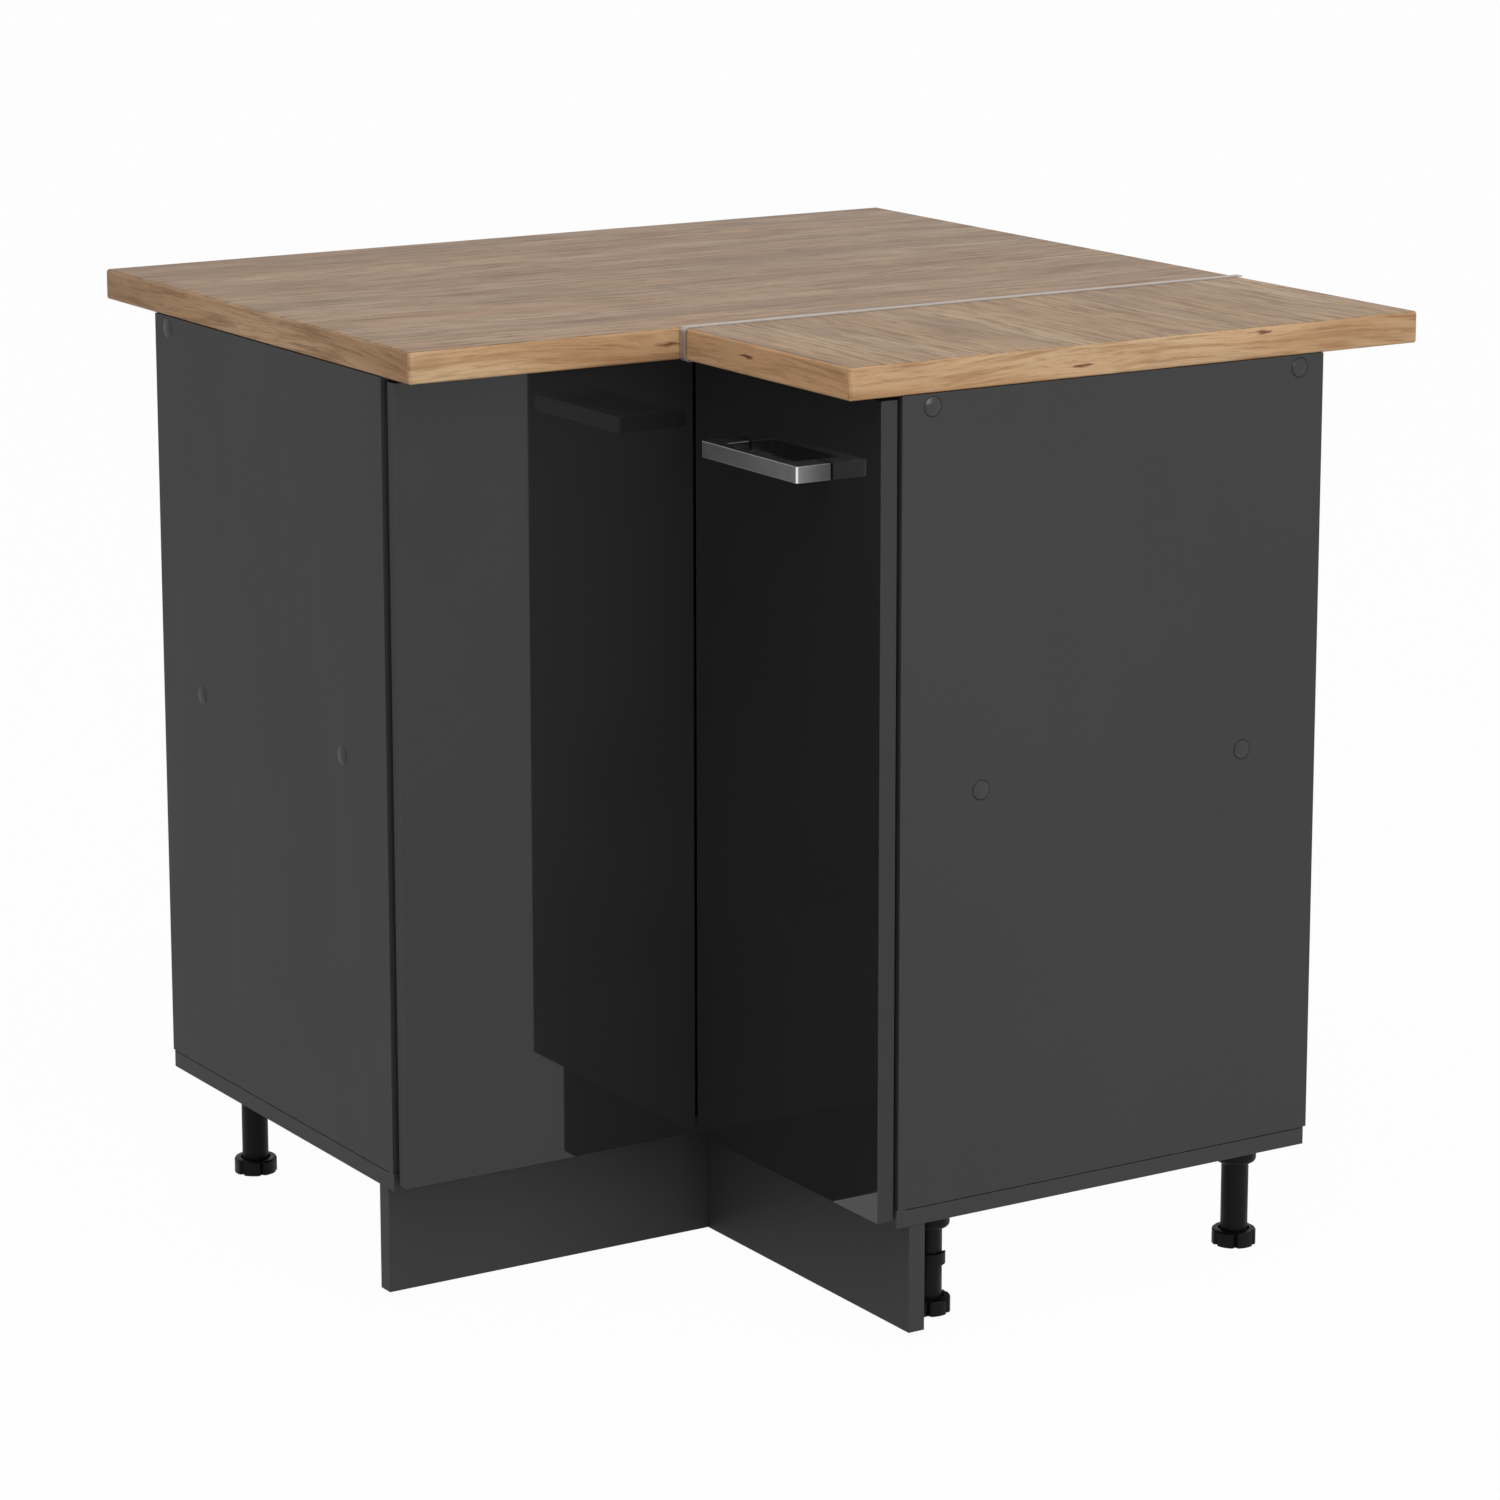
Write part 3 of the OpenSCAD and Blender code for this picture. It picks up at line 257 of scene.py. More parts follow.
class Graph:
    """Adds nodes to one tree and wires them."""

    def __init__(self, tree):
        self.tree = tree

    def put(self, socket, value):
        if isinstance(value, bpy.types.NodeSocket):
            self.tree.links.new(value, socket)
        else:
            socket.default_value = value

    def add(self, kind, inputs=None, **settings):
        n = self.tree.nodes.new("ShaderNode" + kind)
        for k, v in settings.items():
            setattr(n, k, v)
        for k, v in (inputs or {}).items():
            self.put(n.inputs[k], v)
        return n

    def maths(self, operation, a, b=0.0, clamp=False):
        n = self.add("Math", {0: a, 1: b}, operation=operation)
        n.use_clamp = clamp
        return n.outputs[0]

    def times(self, a, b):
        return self.maths("MULTIPLY", a, b)

    def plus(self, a, b):
        return self.maths("ADD", a, b)

    def spread(self, value, low, high, to_low=0.0, to_high=1.0):
        """Value from low to high becomes to_low to to_high, with smooth ends."""
        n = self.add("MapRange", {0: value, 1: low, 2: high, 3: to_low, 4: to_high})
        n.interpolation_type = "SMOOTHSTEP"
        return n.outputs[0]

    def blend(self, factor, a, b):
        """Colour a where factor is 0 and b where it is 1."""
        n = self.add("Mix", data_type="RGBA")
        self.put(n.inputs[0], factor)
        self.put(n.inputs[6], a)
        self.put(n.inputs[7], b)
        return n.outputs[2]

    def noise(self, vector, scale=1.0, detail=2.0, roughness=0.5, plane=False):
        n = self.add("TexNoise", {"Vector": vector, "Scale": scale, "Detail": detail, "Roughness": roughness})
        n.noise_dimensions = "2D" if plane else "3D"
        return n.outputs[0]

    def stretch(self, vector, x, y, z):
        n = self.add("VectorMath", {0: vector, 1: (x, y, z)}, operation="MULTIPLY")
        return n.outputs[0]

    def shifted(self, vector, by):
        return self.add("VectorMath", {0: vector, 1: by}, operation="ADD").outputs[0]

    def group(self, tree, **inputs):
        n = self.tree.nodes.new("ShaderNodeGroup")
        n.node_tree = tree
        for k, v in inputs.items():
            self.put(n.inputs[k.replace("_", " ").title()], v)
        return n


def new_group(name, inputs, outputs):
    """A node group with a Vector input, float inputs given as name: value, and float outputs with these
    names. It comes with its graph, its input node and its output node."""
    tree = bpy.data.node_groups.new(name, "ShaderNodeTree")
    tree.interface.new_socket(name="Vector", in_out="INPUT", socket_type="NodeSocketVector")
    for label, value in inputs.items():
        socket = tree.interface.new_socket(name=label, in_out="INPUT", socket_type="NodeSocketFloat")
        socket.default_value = value
    for label in outputs:
        tree.interface.new_socket(name=label, in_out="OUTPUT", socket_type="NodeSocketFloat")
    return tree, Graph(tree), tree.nodes.new("NodeGroupInput"), tree.nodes.new("NodeGroupOutput")


def new_material(name):
    """A material with a Principled shader: the material, its graph, the shader and its Object coordinates."""
    material = bpy.data.materials.new(name)
    material.use_nodes = True
    graph = Graph(material.node_tree)
    shader = material.node_tree.nodes["Principled BSDF"]
    place = graph.add("TexCoord").outputs["Object"]
    return material, graph, shader, place


def add_relief(g, shader, height, strength, distance):
    """Fine relief in the shader's normal. distance is in metres."""
    relief = g.add("Bump", {"Height": height, "Strength": strength, "Distance": distance})
    g.put(shader.inputs["Normal"], relief.outputs[0])


# Shared effects


def make_oak_grain():
    """Grain of an oak decor. Vector is in metres: X along the grain, Y across it."""
    tree, g, given, out = new_group(
        "oak grain",
        {"Seed": 0.0, "Knots": 0.8},
        ("Tone", "Hue", "Streak", "Fleck", "Pore", "Knot", "Ring"),
    )
    seed = given.outputs["Seed"]
    shift = g.add("CombineXYZ", {0: g.times(seed, 7.3), 1: g.times(seed, 3.7)})
    moved = g.shifted(given.outputs["Vector"], shift.outputs[0])
    sway = g.noise(g.stretch(moved, 1.6, 4.0, 0.0), 1.0, 2.0, plane=True)
    sway = g.times(g.maths("SUBTRACT", sway, 0.5), 0.05)
    wavy = g.shifted(moved, g.add("CombineXYZ", {1: sway}).outputs[0])

    # small knots and cracks, one in some cells of a grid, drawn out along the grain
    grid = g.stretch(moved, 4.2, 26.0, 0.0)
    cell = g.add("TexVoronoi", {"Vector": grid, "Scale": 1.0}, voronoi_dimensions="2D")
    ragged = g.noise(g.stretch(moved, 90.0, 420.0, 0.0), 1.0, 3.0, plane=True)
    away = g.plus(cell.outputs["Distance"], g.times(g.maths("SUBTRACT", ragged, 0.5), 0.11))
    chance = g.add("SeparateColor", {0: cell.outputs["Color"]}).outputs[0]
    picked = g.maths("GREATER_THAN", chance, given.outputs["Knots"])
    knot = g.times(g.spread(away, 0.015, 0.06, 1.0, 0.0), picked)
    ring = g.times(g.spread(away, 0.05, 0.3, 1.0, 0.0), picked)

    # the grain bends round each knot
    bend = g.add("CombineXYZ", {1: g.times(ring, 0.004)})
    bent = g.shifted(wavy, bend.outputs[0])
    tone = g.noise(g.stretch(bent, 2.2, 19.0, 0.0), 1.0, 4.0, 0.6, plane=True)
    hue = g.noise(g.stretch(bent, 1.6, 9.0, 0.0), 1.7, 3.0, 0.5, plane=True)
    streak = g.noise(g.stretch(bent, 9.0, 150.0, 0.0), 1.0, 6.0, 0.7, plane=True)
    fleck = g.noise(g.stretch(bent, 13.0, 400.0, 0.0), 1.0, 2.0, 0.55, plane=True)
    pore = g.noise(g.stretch(bent, 34.0, 900.0, 0.0), 1.0, 2.0, 0.5, plane=True)
    g.put(out.inputs["Tone"], g.spread(tone, 0.35, 0.68))
    g.put(out.inputs["Hue"], g.spread(hue, 0.35, 0.65))
    g.put(out.inputs["Streak"], g.spread(streak, 0.45, 0.68))
    g.put(out.inputs["Fleck"], g.spread(fleck, 0.58, 0.72))
    g.put(out.inputs["Pore"], g.spread(pore, 0.60, 0.74))
    g.put(out.inputs["Knot"], knot)
    g.put(out.inputs["Ring"], ring)
    return tree


def make_board_pearl():
    """Fine pearl of a melamine face with soft, wide unevenness. Vector in metres."""
    tree, g, given, out = new_group(
        "melamine pearl", {"Grain": 1800.0}, ("Tone", "Cloud", "Height")
    )
    fine = g.noise(given.outputs["Vector"], given.outputs["Grain"], 2.0, 0.6)
    cloud = g.noise(given.outputs["Vector"], 3.2, 3.0, 0.5)
    g.put(out.inputs["Tone"], g.spread(fine, 0.3, 0.7))
    g.put(out.inputs["Cloud"], g.spread(cloud, 0.3, 0.7))
    g.put(out.inputs["Height"], fine)
    return tree


def make_hand_marks():
    """Faint wiped smears and dust that change how sharp a reflection is. Vector in metres."""
    tree, g, given, out = new_group("hand marks", {}, ("Smear", "Dust"))
    wiped = g.noise(g.stretch(given.outputs["Vector"], 14.0, 14.0, 3.0), 1.0, 4.0, 0.65)
    dust = g.noise(given.outputs["Vector"], 900.0, 1.0, 0.4)
    g.put(out.inputs["Smear"], g.spread(wiped, 0.45, 0.75))
    g.put(out.inputs["Dust"], g.spread(dust, 0.68, 0.8))
    return tree


def make_edge_rub_highlight_and_shade():
    """Its first output is how close a point is to a sharp edge, broken up by noise: where a finish is rubbed
    first, and where lightening it also paints a highlight along the arris. Its second output is how deep a
    point lies in a joint, where darkening it paints shade."""
    tree, g, given, out = new_group(
        "edge rub, highlight and shade", {"Radius": 0.0008, "Breakup": 160.0, "Reach": 0.0016}, ("Rub and highlight", "Seam")
    )
    # edges found with the Bevel node: lightening along them is wear and a painted highlight
    rounded = g.add("Bevel", {"Radius": given.outputs["Radius"]}, samples=4)
    plain = g.add("NewGeometry").outputs["Normal"]
    agree = g.add("VectorMath", {0: rounded.outputs[0], 1: plain}, operation="DOT_PRODUCT").outputs["Value"]
    edge = g.spread(agree, 0.985, 0.80, 0.0, 1.0)
    patch = g.spread(g.noise(given.outputs["Vector"], given.outputs["Breakup"], 3.0, 0.6), 0.35, 0.7)
    g.put(out.inputs["Rub and highlight"], g.times(edge, patch))
    # painted shade: how enclosed a point is, from ambient occlusion, used to darken joints and crevices
    open_share = g.add("AmbientOcclusion", {"Distance": given.outputs["Reach"]}, samples=6).outputs["AO"]
    g.put(out.inputs["Seam"], g.spread(open_share, 0.85, 0.35, 0.0, 1.0))
    return tree


def make_drawn_lines():
    """Fine lines of brushed or drawn metal. Vector in metres, X along the lines."""
    tree, g, given, out = new_group("drawn lines", {}, ("Lines", "Patch"))
    lines = g.noise(g.stretch(given.outputs["Vector"], 30.0, 3800.0, 3800.0), 1.0, 3.0, 0.6)
    patch = g.noise(given.outputs["Vector"], 60.0, 2.0, 0.5)
    g.put(out.inputs["Lines"], g.spread(lines, 0.3, 0.7))
    g.put(out.inputs["Patch"], g.spread(patch, 0.35, 0.65))
    return tree


def make_mould_grain():
    """Fine spark eroded grain of moulded plastic. Vector in metres."""
    tree, g, given, out = new_group("mould grain", {"Size": 2600.0}, ("Grain", "Cloud"))
    grain = g.noise(given.outputs["Vector"], given.outputs["Size"], 2.0, 0.6)
    cloud = g.noise(given.outputs["Vector"], 45.0, 2.0, 0.5)
    g.put(out.inputs["Grain"], grain)
    g.put(out.inputs["Cloud"], g.spread(cloud, 0.3, 0.7))
    return tree


OAK_GRAIN = make_oak_grain()
BOARD_PEARL = make_board_pearl()
HAND_MARKS = make_hand_marks()
EDGE_RUB_HIGHLIGHT_AND_SHADE = make_edge_rub_highlight_and_shade()
DRAWN_LINES = make_drawn_lines()
MOULD_GRAIN = make_mould_grain()


# Materials


def along(g, place, order):
    """Object coordinates in another order, such as "yzx": Y along the grain, Z across it, X into the face."""
    parts = g.add("SeparateXYZ", {0: place})
    turned = {i: parts.outputs["xyz".index(axis)] for i, axis in enumerate(order)}
    return g.add("CombineXYZ", turned).outputs[0]


def oak_material(name, order, seed, pale, warm, deep, knot_colour, knots, contrast, waves, flecks):
    """Oak decor. pale and warm are its two light tones, deep the tone of its streaks. Few of its cells have a
    knot where knots is near 1. contrast, waves and flecks are the shares of the fine streaks, of the wide
    soft bands and of the short dark strokes."""
    material, g, shader, place = new_material(name)
    grain = g.group(OAK_GRAIN, vector=along(g, place, order), seed=seed, knots=knots)
    base = g.blend(grain.outputs["Hue"], pale, warm)
    base = g.blend(g.times(grain.outputs["Tone"], waves), base, deep)
    base = g.blend(g.times(grain.outputs["Streak"], 0.6 * contrast), base, deep)
    base = g.blend(g.times(grain.outputs["Fleck"], flecks), base, deep)
    base = g.blend(g.times(grain.outputs["Pore"], 0.5), base, deep)
    base = g.blend(g.times(grain.outputs["Ring"], 0.35), base, warm)
    base = g.blend(g.times(grain.outputs["Knot"], 0.85), base, knot_colour)
    # painted highlight: the arrises are lightened to a paler tone, as rubbed edges that also catch light
    rub = g.group(EDGE_RUB_HIGHLIGHT_AND_SHADE, vector=place, radius=0.0014, breakup=130.0)
    worn_and_highlit = brighter(pale, 1.3)
    g.put(shader.inputs["Base Color"], g.blend(g.times(rub.outputs["Rub and highlight"], 0.55), base, worn_and_highlit))
    rough = g.plus(g.times(grain.outputs["Streak"], 0.08), 0.46)
    g.put(shader.inputs["Roughness"], g.plus(rough, g.times(grain.outputs["Pore"], 0.1)))
    shader.inputs["Specular IOR Level"].default_value = 0.2
    depth = g.plus(g.times(grain.outputs["Pore"], -0.7), g.times(grain.outputs["Streak"], -0.3))
    add_relief(g, shader, depth, 0.25, 0.0002)
    return material


ALONG_X, ALONG_Y = "xyz", "yxz"  # on a face that looks up: X or Y along the grain
FRONT_EDGE, SIDE_EDGE = "xzy", "yzx"  # on an upright edge: X or Y along the grain, Z across it
UPRIGHT = "zxy"  # Z along the grain

TOP_KNOT = tint(80, 56, 40)
oak_top_main = oak_material(
    "oak decor, main board", ALONG_X, seed=0.13,
    pale=tint(171, 143, 114), warm=tint(168, 134, 101), deep=tint(114, 88, 65),
    knot_colour=TOP_KNOT, knots=0.64, contrast=1.25, waves=0.55, flecks=1.0,
)
oak_top_wing = oak_material(
    "oak decor, right board", ALONG_Y, seed=0.61,
    pale=tint(179, 151, 119), warm=tint(175, 142, 106), deep=tint(122, 95, 70),
    knot_colour=TOP_KNOT, knots=0.64, contrast=1.3, waves=0.5, flecks=1.0,
)
oak_front_edge = oak_material(
    "oak edge, front", FRONT_EDGE, seed=0.37,
    pale=tint(206, 175, 137), warm=tint(200, 161, 120), deep=tint(142, 100, 66),
    knot_colour=tint(88, 44, 26), knots=0.35, contrast=0.85, waves=0.45, flecks=0.45,
)
oak_side_edge = oak_material(
    "oak edge, side", SIDE_EDGE, seed=0.83,
    pale=tint(200, 165, 127), warm=tint(192, 152, 112), deep=tint(134, 95, 62),
    knot_colour=tint(84, 50, 32), knots=0.35, contrast=0.9, waves=0.45, flecks=0.45,
)
# painted light: this edge lies in the shaded inner corner, so its tones are made lighter than those of the
# other edges to make up for the shade
oak_inner_edge_painted_lighter = oak_material(
    "oak edge in the corner, painted lighter", SIDE_EDGE, seed=0.29,
    pale=tint(222, 184, 142), warm=tint(216, 170, 125), deep=tint(150, 108, 70),
    knot_colour=tint(90, 50, 30), knots=0.4, contrast=0.8, waves=0.35, flecks=0.4,
)


def chipboard_material():
    """Sawn core of the worktop: pressed chips in several browns, with small voids."""
    material, g, shader, place = new_material("sawn chipboard")
    chips = g.add("TexVoronoi", {"Vector": g.stretch(place, 260.0, 260.0, 620.0), "Scale": 1.0})
    shade = g.add("SeparateColor", {0: chips.outputs["Color"]}).outputs[0]
    base = g.blend(shade, tint(176, 146, 108), tint(128, 98, 66))
    voids = g.spread(chips.outputs["Distance"], 0.55, 0.85)
    g.put(shader.inputs["Base Color"], g.blend(voids, base, tint(70, 50, 34)))
    g.put(shader.inputs["Roughness"], g.spread(shade, 0.0, 1.0, 0.75, 0.92))
    add_relief(g, shader, g.maths("SUBTRACT", shade, voids), 0.5, 0.0005)
    return material


def backing_material():
    """Brown backing paper on the underside of the worktop."""
    material, g, shader, place = new_material("backing paper")
    fibre = g.noise(g.stretch(place, 60.0, 500.0, 60.0), 1.0, 4.0, 0.6)
    base = g.blend(g.spread(fibre, 0.3, 0.7), tint(128, 108, 88), tint(104, 86, 68))
    g.put(shader.inputs["Base Color"], base)
    g.put(shader.inputs["Roughness"], g.spread(fibre, 0.3, 0.7, 0.62, 0.78))
    add_relief(g, shader, fibre, 0.2, 0.0002)
    return material


def grey_board_material(name, colour, lighter_colour, grain=1800.0):
    """Matt dark grey melamine with a fine pearl, slightly lighter arrises that are rubbed and carry a painted
    highlight, and painted shade, nearly black, in its joints.
    """
    material, g, shader, place = new_material(name)
    pearl = g.group(BOARD_PEARL, vector=place, grain=grain)
    rub = g.group(EDGE_RUB_HIGHLIGHT_AND_SHADE, vector=place)
    base = g.blend(g.times(pearl.outputs["Tone"], 0.05), colour, lighter_colour)
    base = g.blend(g.times(pearl.outputs["Cloud"], 0.04), base, lighter_colour)
    # painted highlight: the arrises are lightened, as rubbed melamine that also catches light
    base = g.blend(g.times(rub.outputs["Rub and highlight"], 0.5), base, lighter_colour)
    # painted shade: joints and crevices are darkened nearly to black
    base = g.blend(g.times(rub.outputs["Seam"], 0.8), base, tint(14, 14, 14))
    g.put(shader.inputs["Base Color"], base)
    marks = g.group(HAND_MARKS, vector=place)
    g.put(shader.inputs["Roughness"], g.plus(g.times(marks.outputs["Smear"], -0.03), 0.58))
    shader.inputs["Specular IOR Level"].default_value = 0.2
    add_relief(g, shader, pearl.outputs["Height"], 0.05, 0.0001)
    return material


grey_board = grey_board_material("grey melamine", tint(57, 57, 57), tint(92, 92, 92))
grey_edge = grey_board_material("grey edge band", tint(57, 57, 57), tint(104, 104, 104), 900.0)
plinth_grey = grey_board_material("plinth melamine", tint(57, 57, 57), tint(88, 88, 88))
door_edge = grey_board_material("door edge band", tint(51, 51, 51), tint(102, 102, 102), 900.0)


def gloss_material():
    """High gloss door face: a deep, nearly black body under a clear mirror-like skin, with a painted
    highlight along its arrises.
    """
    material, g, shader, place = new_material("gloss door face")
    marks = g.group(HAND_MARKS, vector=place)
    cloud = g.noise(place, 5.0, 2.0, 0.5)
    base = g.blend(g.spread(cloud, 0.3, 0.7), tint(37, 37, 37), tint(40, 40, 40))
    base = g.blend(g.times(marks.outputs["Dust"], 0.02), base, tint(95, 95, 95))
    # painted highlight: the arrises are lightened to a mid grey
    rub = g.group(EDGE_RUB_HIGHLIGHT_AND_SHADE, vector=place, radius=0.0012)
    g.put(shader.inputs["Base Color"], g.blend(g.times(rub.outputs["Rub and highlight"], 0.5), base, tint(96, 96, 96)))
    g.put(shader.inputs["Roughness"], g.plus(g.times(marks.outputs["Smear"], 0.02), 0.02))
    shader.inputs["IOR"].default_value = 1.45
    ripple = g.noise(place, 34.0, 1.0, 0.4)
    add_relief(g, shader, ripple, 0.02, 0.0001)
    return material


def metal_material(name, colour, dark, rough, order="xyz", line_depth=0.15, edge_share=0.6, metallic=1.0):
    """Metal with fine drawn lines along the first axis of order, brighter along its edges."""
    material, g, shader, place = new_material(name)
    drawn = g.group(DRAWN_LINES, vector=along(g, place, order))
    rub = g.group(EDGE_RUB_HIGHLIGHT_AND_SHADE, vector=place, radius=0.0006, breakup=300.0)
    base = g.blend(g.times(drawn.outputs["Lines"], 0.5), colour, dark)
    base = g.blend(g.times(drawn.outputs["Patch"], 0.25), base, dark)
    bright = brighter(colour, 1.8)
    g.put(shader.inputs["Base Color"], g.blend(g.times(rub.outputs["Rub and highlight"], edge_share), base, bright))
    shader.inputs["Metallic"].default_value = metallic
    g.put(shader.inputs["Roughness"], g.spread(drawn.outputs["Lines"], 0.0, 1.0, rough - 0.04, rough + 0.07))
    add_relief(g, shader, drawn.outputs["Lines"], line_depth, 0.00005)
    return material


def handle_material(name, colour, dark, rough, line_depth, metallic=1.0):
    """Metal of the handle, with its lines along the bar and its edges only a little brighter."""
    return metal_material(name, colour, dark, rough, "yxz", line_depth, 0.2, metallic)


def plastic_material(name, colour, pale, rough, specular, size=2600.0):
    """Moulded plastic with a fine grain, a little paler along its edges, and painted shade, nearly black, in
    its joints.
    """
    material, g, shader, place = new_material(name)
    mould = g.group(MOULD_GRAIN, vector=place, size=size)
    rub = g.group(EDGE_RUB_HIGHLIGHT_AND_SHADE, vector=place, radius=0.0007, breakup=240.0)
    base = g.blend(g.times(mould.outputs["Cloud"], 0.3), colour, pale)
    base = g.blend(g.times(rub.outputs["Rub and highlight"], 0.7), base, pale)
    # painted shade: joints and the foot of each part are darkened nearly to black
    g.put(shader.inputs["Base Color"], g.blend(g.times(rub.outputs["Seam"], 0.9), base, tint(6, 6, 6)))
    g.put(shader.inputs["Roughness"], g.spread(mould.outputs["Cloud"], 0.0, 1.0, rough - 0.04, rough + 0.06))
    shader.inputs["Specular IOR Level"].default_value = specular
    add_relief(g, shader, mould.outputs["Grain"], 0.2, 0.0001)
    return material


def fibreboard_material(name, pale, dark):
    """Thin hardboard: matted fibres, slightly hairy."""
    material, g, shader, place = new_material(name)
    fibres = g.noise(g.stretch(place, 240.0, 240.0, 240.0), 1.0, 5.0, 0.7)
    cloud = g.noise(place, 7.0, 3.0, 0.5)
    base = g.blend(g.spread(fibres, 0.3, 0.7), pale, dark)
    g.put(shader.inputs["Base Color"], g.blend(g.times(g.spread(cloud, 0.3, 0.7), 0.35), base, dark))
    g.put(shader.inputs["Roughness"], g.spread(fibres, 0.3, 0.7, 0.7, 0.85))
    add_relief(g, shader, fibres, 0.3, 0.0002)
    return material


def raw_wood_material(name, order, seed):
    """Planed softwood of the post and the dowels."""
    material, g, shader, place = new_material(name)
    grain = g.group(OAK_GRAIN, vector=along(g, place, order), seed=seed, knots=0.93)
    base = g.blend(g.times(grain.outputs["Tone"], 0.6), tint(212, 184, 140), tint(184, 148, 102))
    base = g.blend(g.times(grain.outputs["Streak"], 0.55), base, tint(160, 120, 78))
    g.put(shader.inputs["Base Color"], g.blend(grain.outputs["Knot"], base, tint(110, 72, 42)))
    g.put(shader.inputs["Roughness"], g.spread(grain.outputs["Streak"], 0.0, 1.0, 0.62, 0.75))
    add_relief(g, shader, grain.outputs["Streak"], 0.3, 0.0003)
    return material


def bumper_material():
    """Clear soft pad."""
    material, g, shader, place = new_material("clear pad")
    haze = g.noise(place, 700.0, 2.0, 0.5)
    g.put(shader.inputs["Base Color"], g.blend(haze, tint(226, 228, 228), tint(240, 241, 241)))
    g.put(shader.inputs["Roughness"], g.spread(haze, 0.3, 0.7, 0.1, 0.22))
    shader.inputs["Transmission Weight"].default_value = 0.9
    shader.inputs["IOR"].default_value = 1.45
    return material


chipboard = chipboard_material()
backing = backing_material()
gloss_face = gloss_material()
# One metal in lit and shaded copies: the front is painted a little darker, the top lighter against the shade
# of the worktop above it, the inside is polished and painted a little darker, and the arrises get a near
# white, barely metal paint as a painted highlight.
handle_metal = handle_material(
    "satin handle metal", tint(168, 168, 170), tint(130, 130, 132), 0.5, 0.15, metallic=0.85
)
handle_front_painted_darker = handle_material(
    "satin front of the handle, painted darker", tint(160, 160, 162), tint(126, 126, 128), 0.5, 0.15, metallic=0.85
)
handle_top_painted_lighter = handle_material(
    "smooth top of the handle, painted lighter", tint(190, 190, 192), tint(160, 160, 162), 0.3, 0.08
)
handle_inside_painted_darker = handle_material(
    "polished inside of the handle, painted darker", tint(150, 150, 152), tint(120, 120, 122), 0.2, 0.05
)
handle_arris_painted_highlight = handle_material(
    "arris of the handle, painted highlight", tint(253, 253, 254), tint(242, 242, 244), 0.3, 0.03, metallic=0.1
)
strip_metal = metal_material("drawn aluminium", tint(184, 176, 168), tint(156, 149, 143), 0.42, metallic=0.6)
nickel = metal_material(
    "nickel plated steel", tint(206, 203, 197), tint(170, 168, 163), 0.24, line_depth=0.05
)
# painted shade: the fold leaves and their pins are painted dark so that they stay dark in the narrow gap
# between the doors
nickel_painted_dark = metal_material(
    "fold hinge steel, painted dark", tint(96, 94, 91), tint(70, 69, 67), 0.35, line_depth=0.05
)
zinc = metal_material(
    "zinc plated steel", tint(190, 192, 194), tint(140, 143, 146), 0.34, line_depth=0.05
)
cap_grey = plastic_material("cap plastic", tint(46, 46, 47), tint(60, 60, 63), 0.15, 0.42, 1500.0)
# painted shade: the same plastic, more matt and a little darker, for the caps at the left end
cap_matt_painted_darker = plastic_material("cap plastic, matt and painted darker", tint(40, 40, 41), tint(52, 52, 54), 0.32, 0.16, 1500.0)
# painted shade: near black ring round the foot of a cap
cap_rim_painted_shade = plastic_material("rim of a cap, painted shade", tint(20, 20, 21), tint(34, 34, 35), 0.35, 0.2, 1500.0)
black_plastic = plastic_material("black plastic", tint(9, 9, 9), tint(24, 24, 25), 0.45, 0.12)
hardboard = fibreboard_material("grey hardboard face", tint(70, 70, 70), tint(58, 58, 58))
hardboard_raw = fibreboard_material("brown hardboard back", tint(134, 100, 70), tint(98, 70, 48))
wood_dowel = raw_wood_material("beech dowel", ALONG_Y, 0.21)
wood_upright = raw_wood_material("planed post", UPRIGHT, 0.71)
clear_pad = bumper_material()


# Worktop


def is_top(face):
    return face.normal.z > CLOSE


def is_underside(face):
    return face.normal.z < -STRICT


def is_front_edge(face):
    return face.normal.y < -LOOSE


def is_side_edge(face):
    return face.normal.x < -LOOSE


def thin_strip(strip):
    """Thins the flanges, the web and the lower tab of the joint strip, so that a dark gap shows behind them,
    and rounds the two outer corners at its front end."""
    low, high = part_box("worktop_joint_strip")
    edit(strip)
    pick_faces(strip, lambda f: f.normal.x > STRICT and f.calc_center_median().x < low.x + 3 * MM)
    bpy.ops.transform.translate(value=(-0.5 * MM, 0, 0))
    pick_faces(strip, lambda f: f.normal.z > STRICT and f.calc_center_median().z < low.z + 3 * MM)
    bpy.ops.transform.translate(value=(0, 0, -0.5 * MM))
    pick_faces(strip, lambda f: f.normal.z > STRICT and f.calc_center_median().z > high.z - 0.1 * MM)
    bpy.ops.transform.translate(value=(0, 0, -0.4 * MM))
    for side in (-1, 1):
        pick_faces(strip, lambda f: f.normal.y * side > STRICT)
        bpy.ops.transform.translate(value=(0, -side * 0.8 * MM, 0))
    high.z -= 0.4 * MM

    def is_outer_corner(edge):
        in_front = all(v.co.x < low.x + TINY for v in edge.verts)
        below = all(v.co.z < low.z + TINY for v in edge.verts)
        above = all(v.co.z > high.z - TINY for v in edge.verts)
        return in_front and (below or above)

    pick_edges(strip, is_outer_corner)
    bpy.ops.mesh.bevel(offset=1.3 * MM, segments=4, affect="EDGES")
    leave_edit()
    return strip


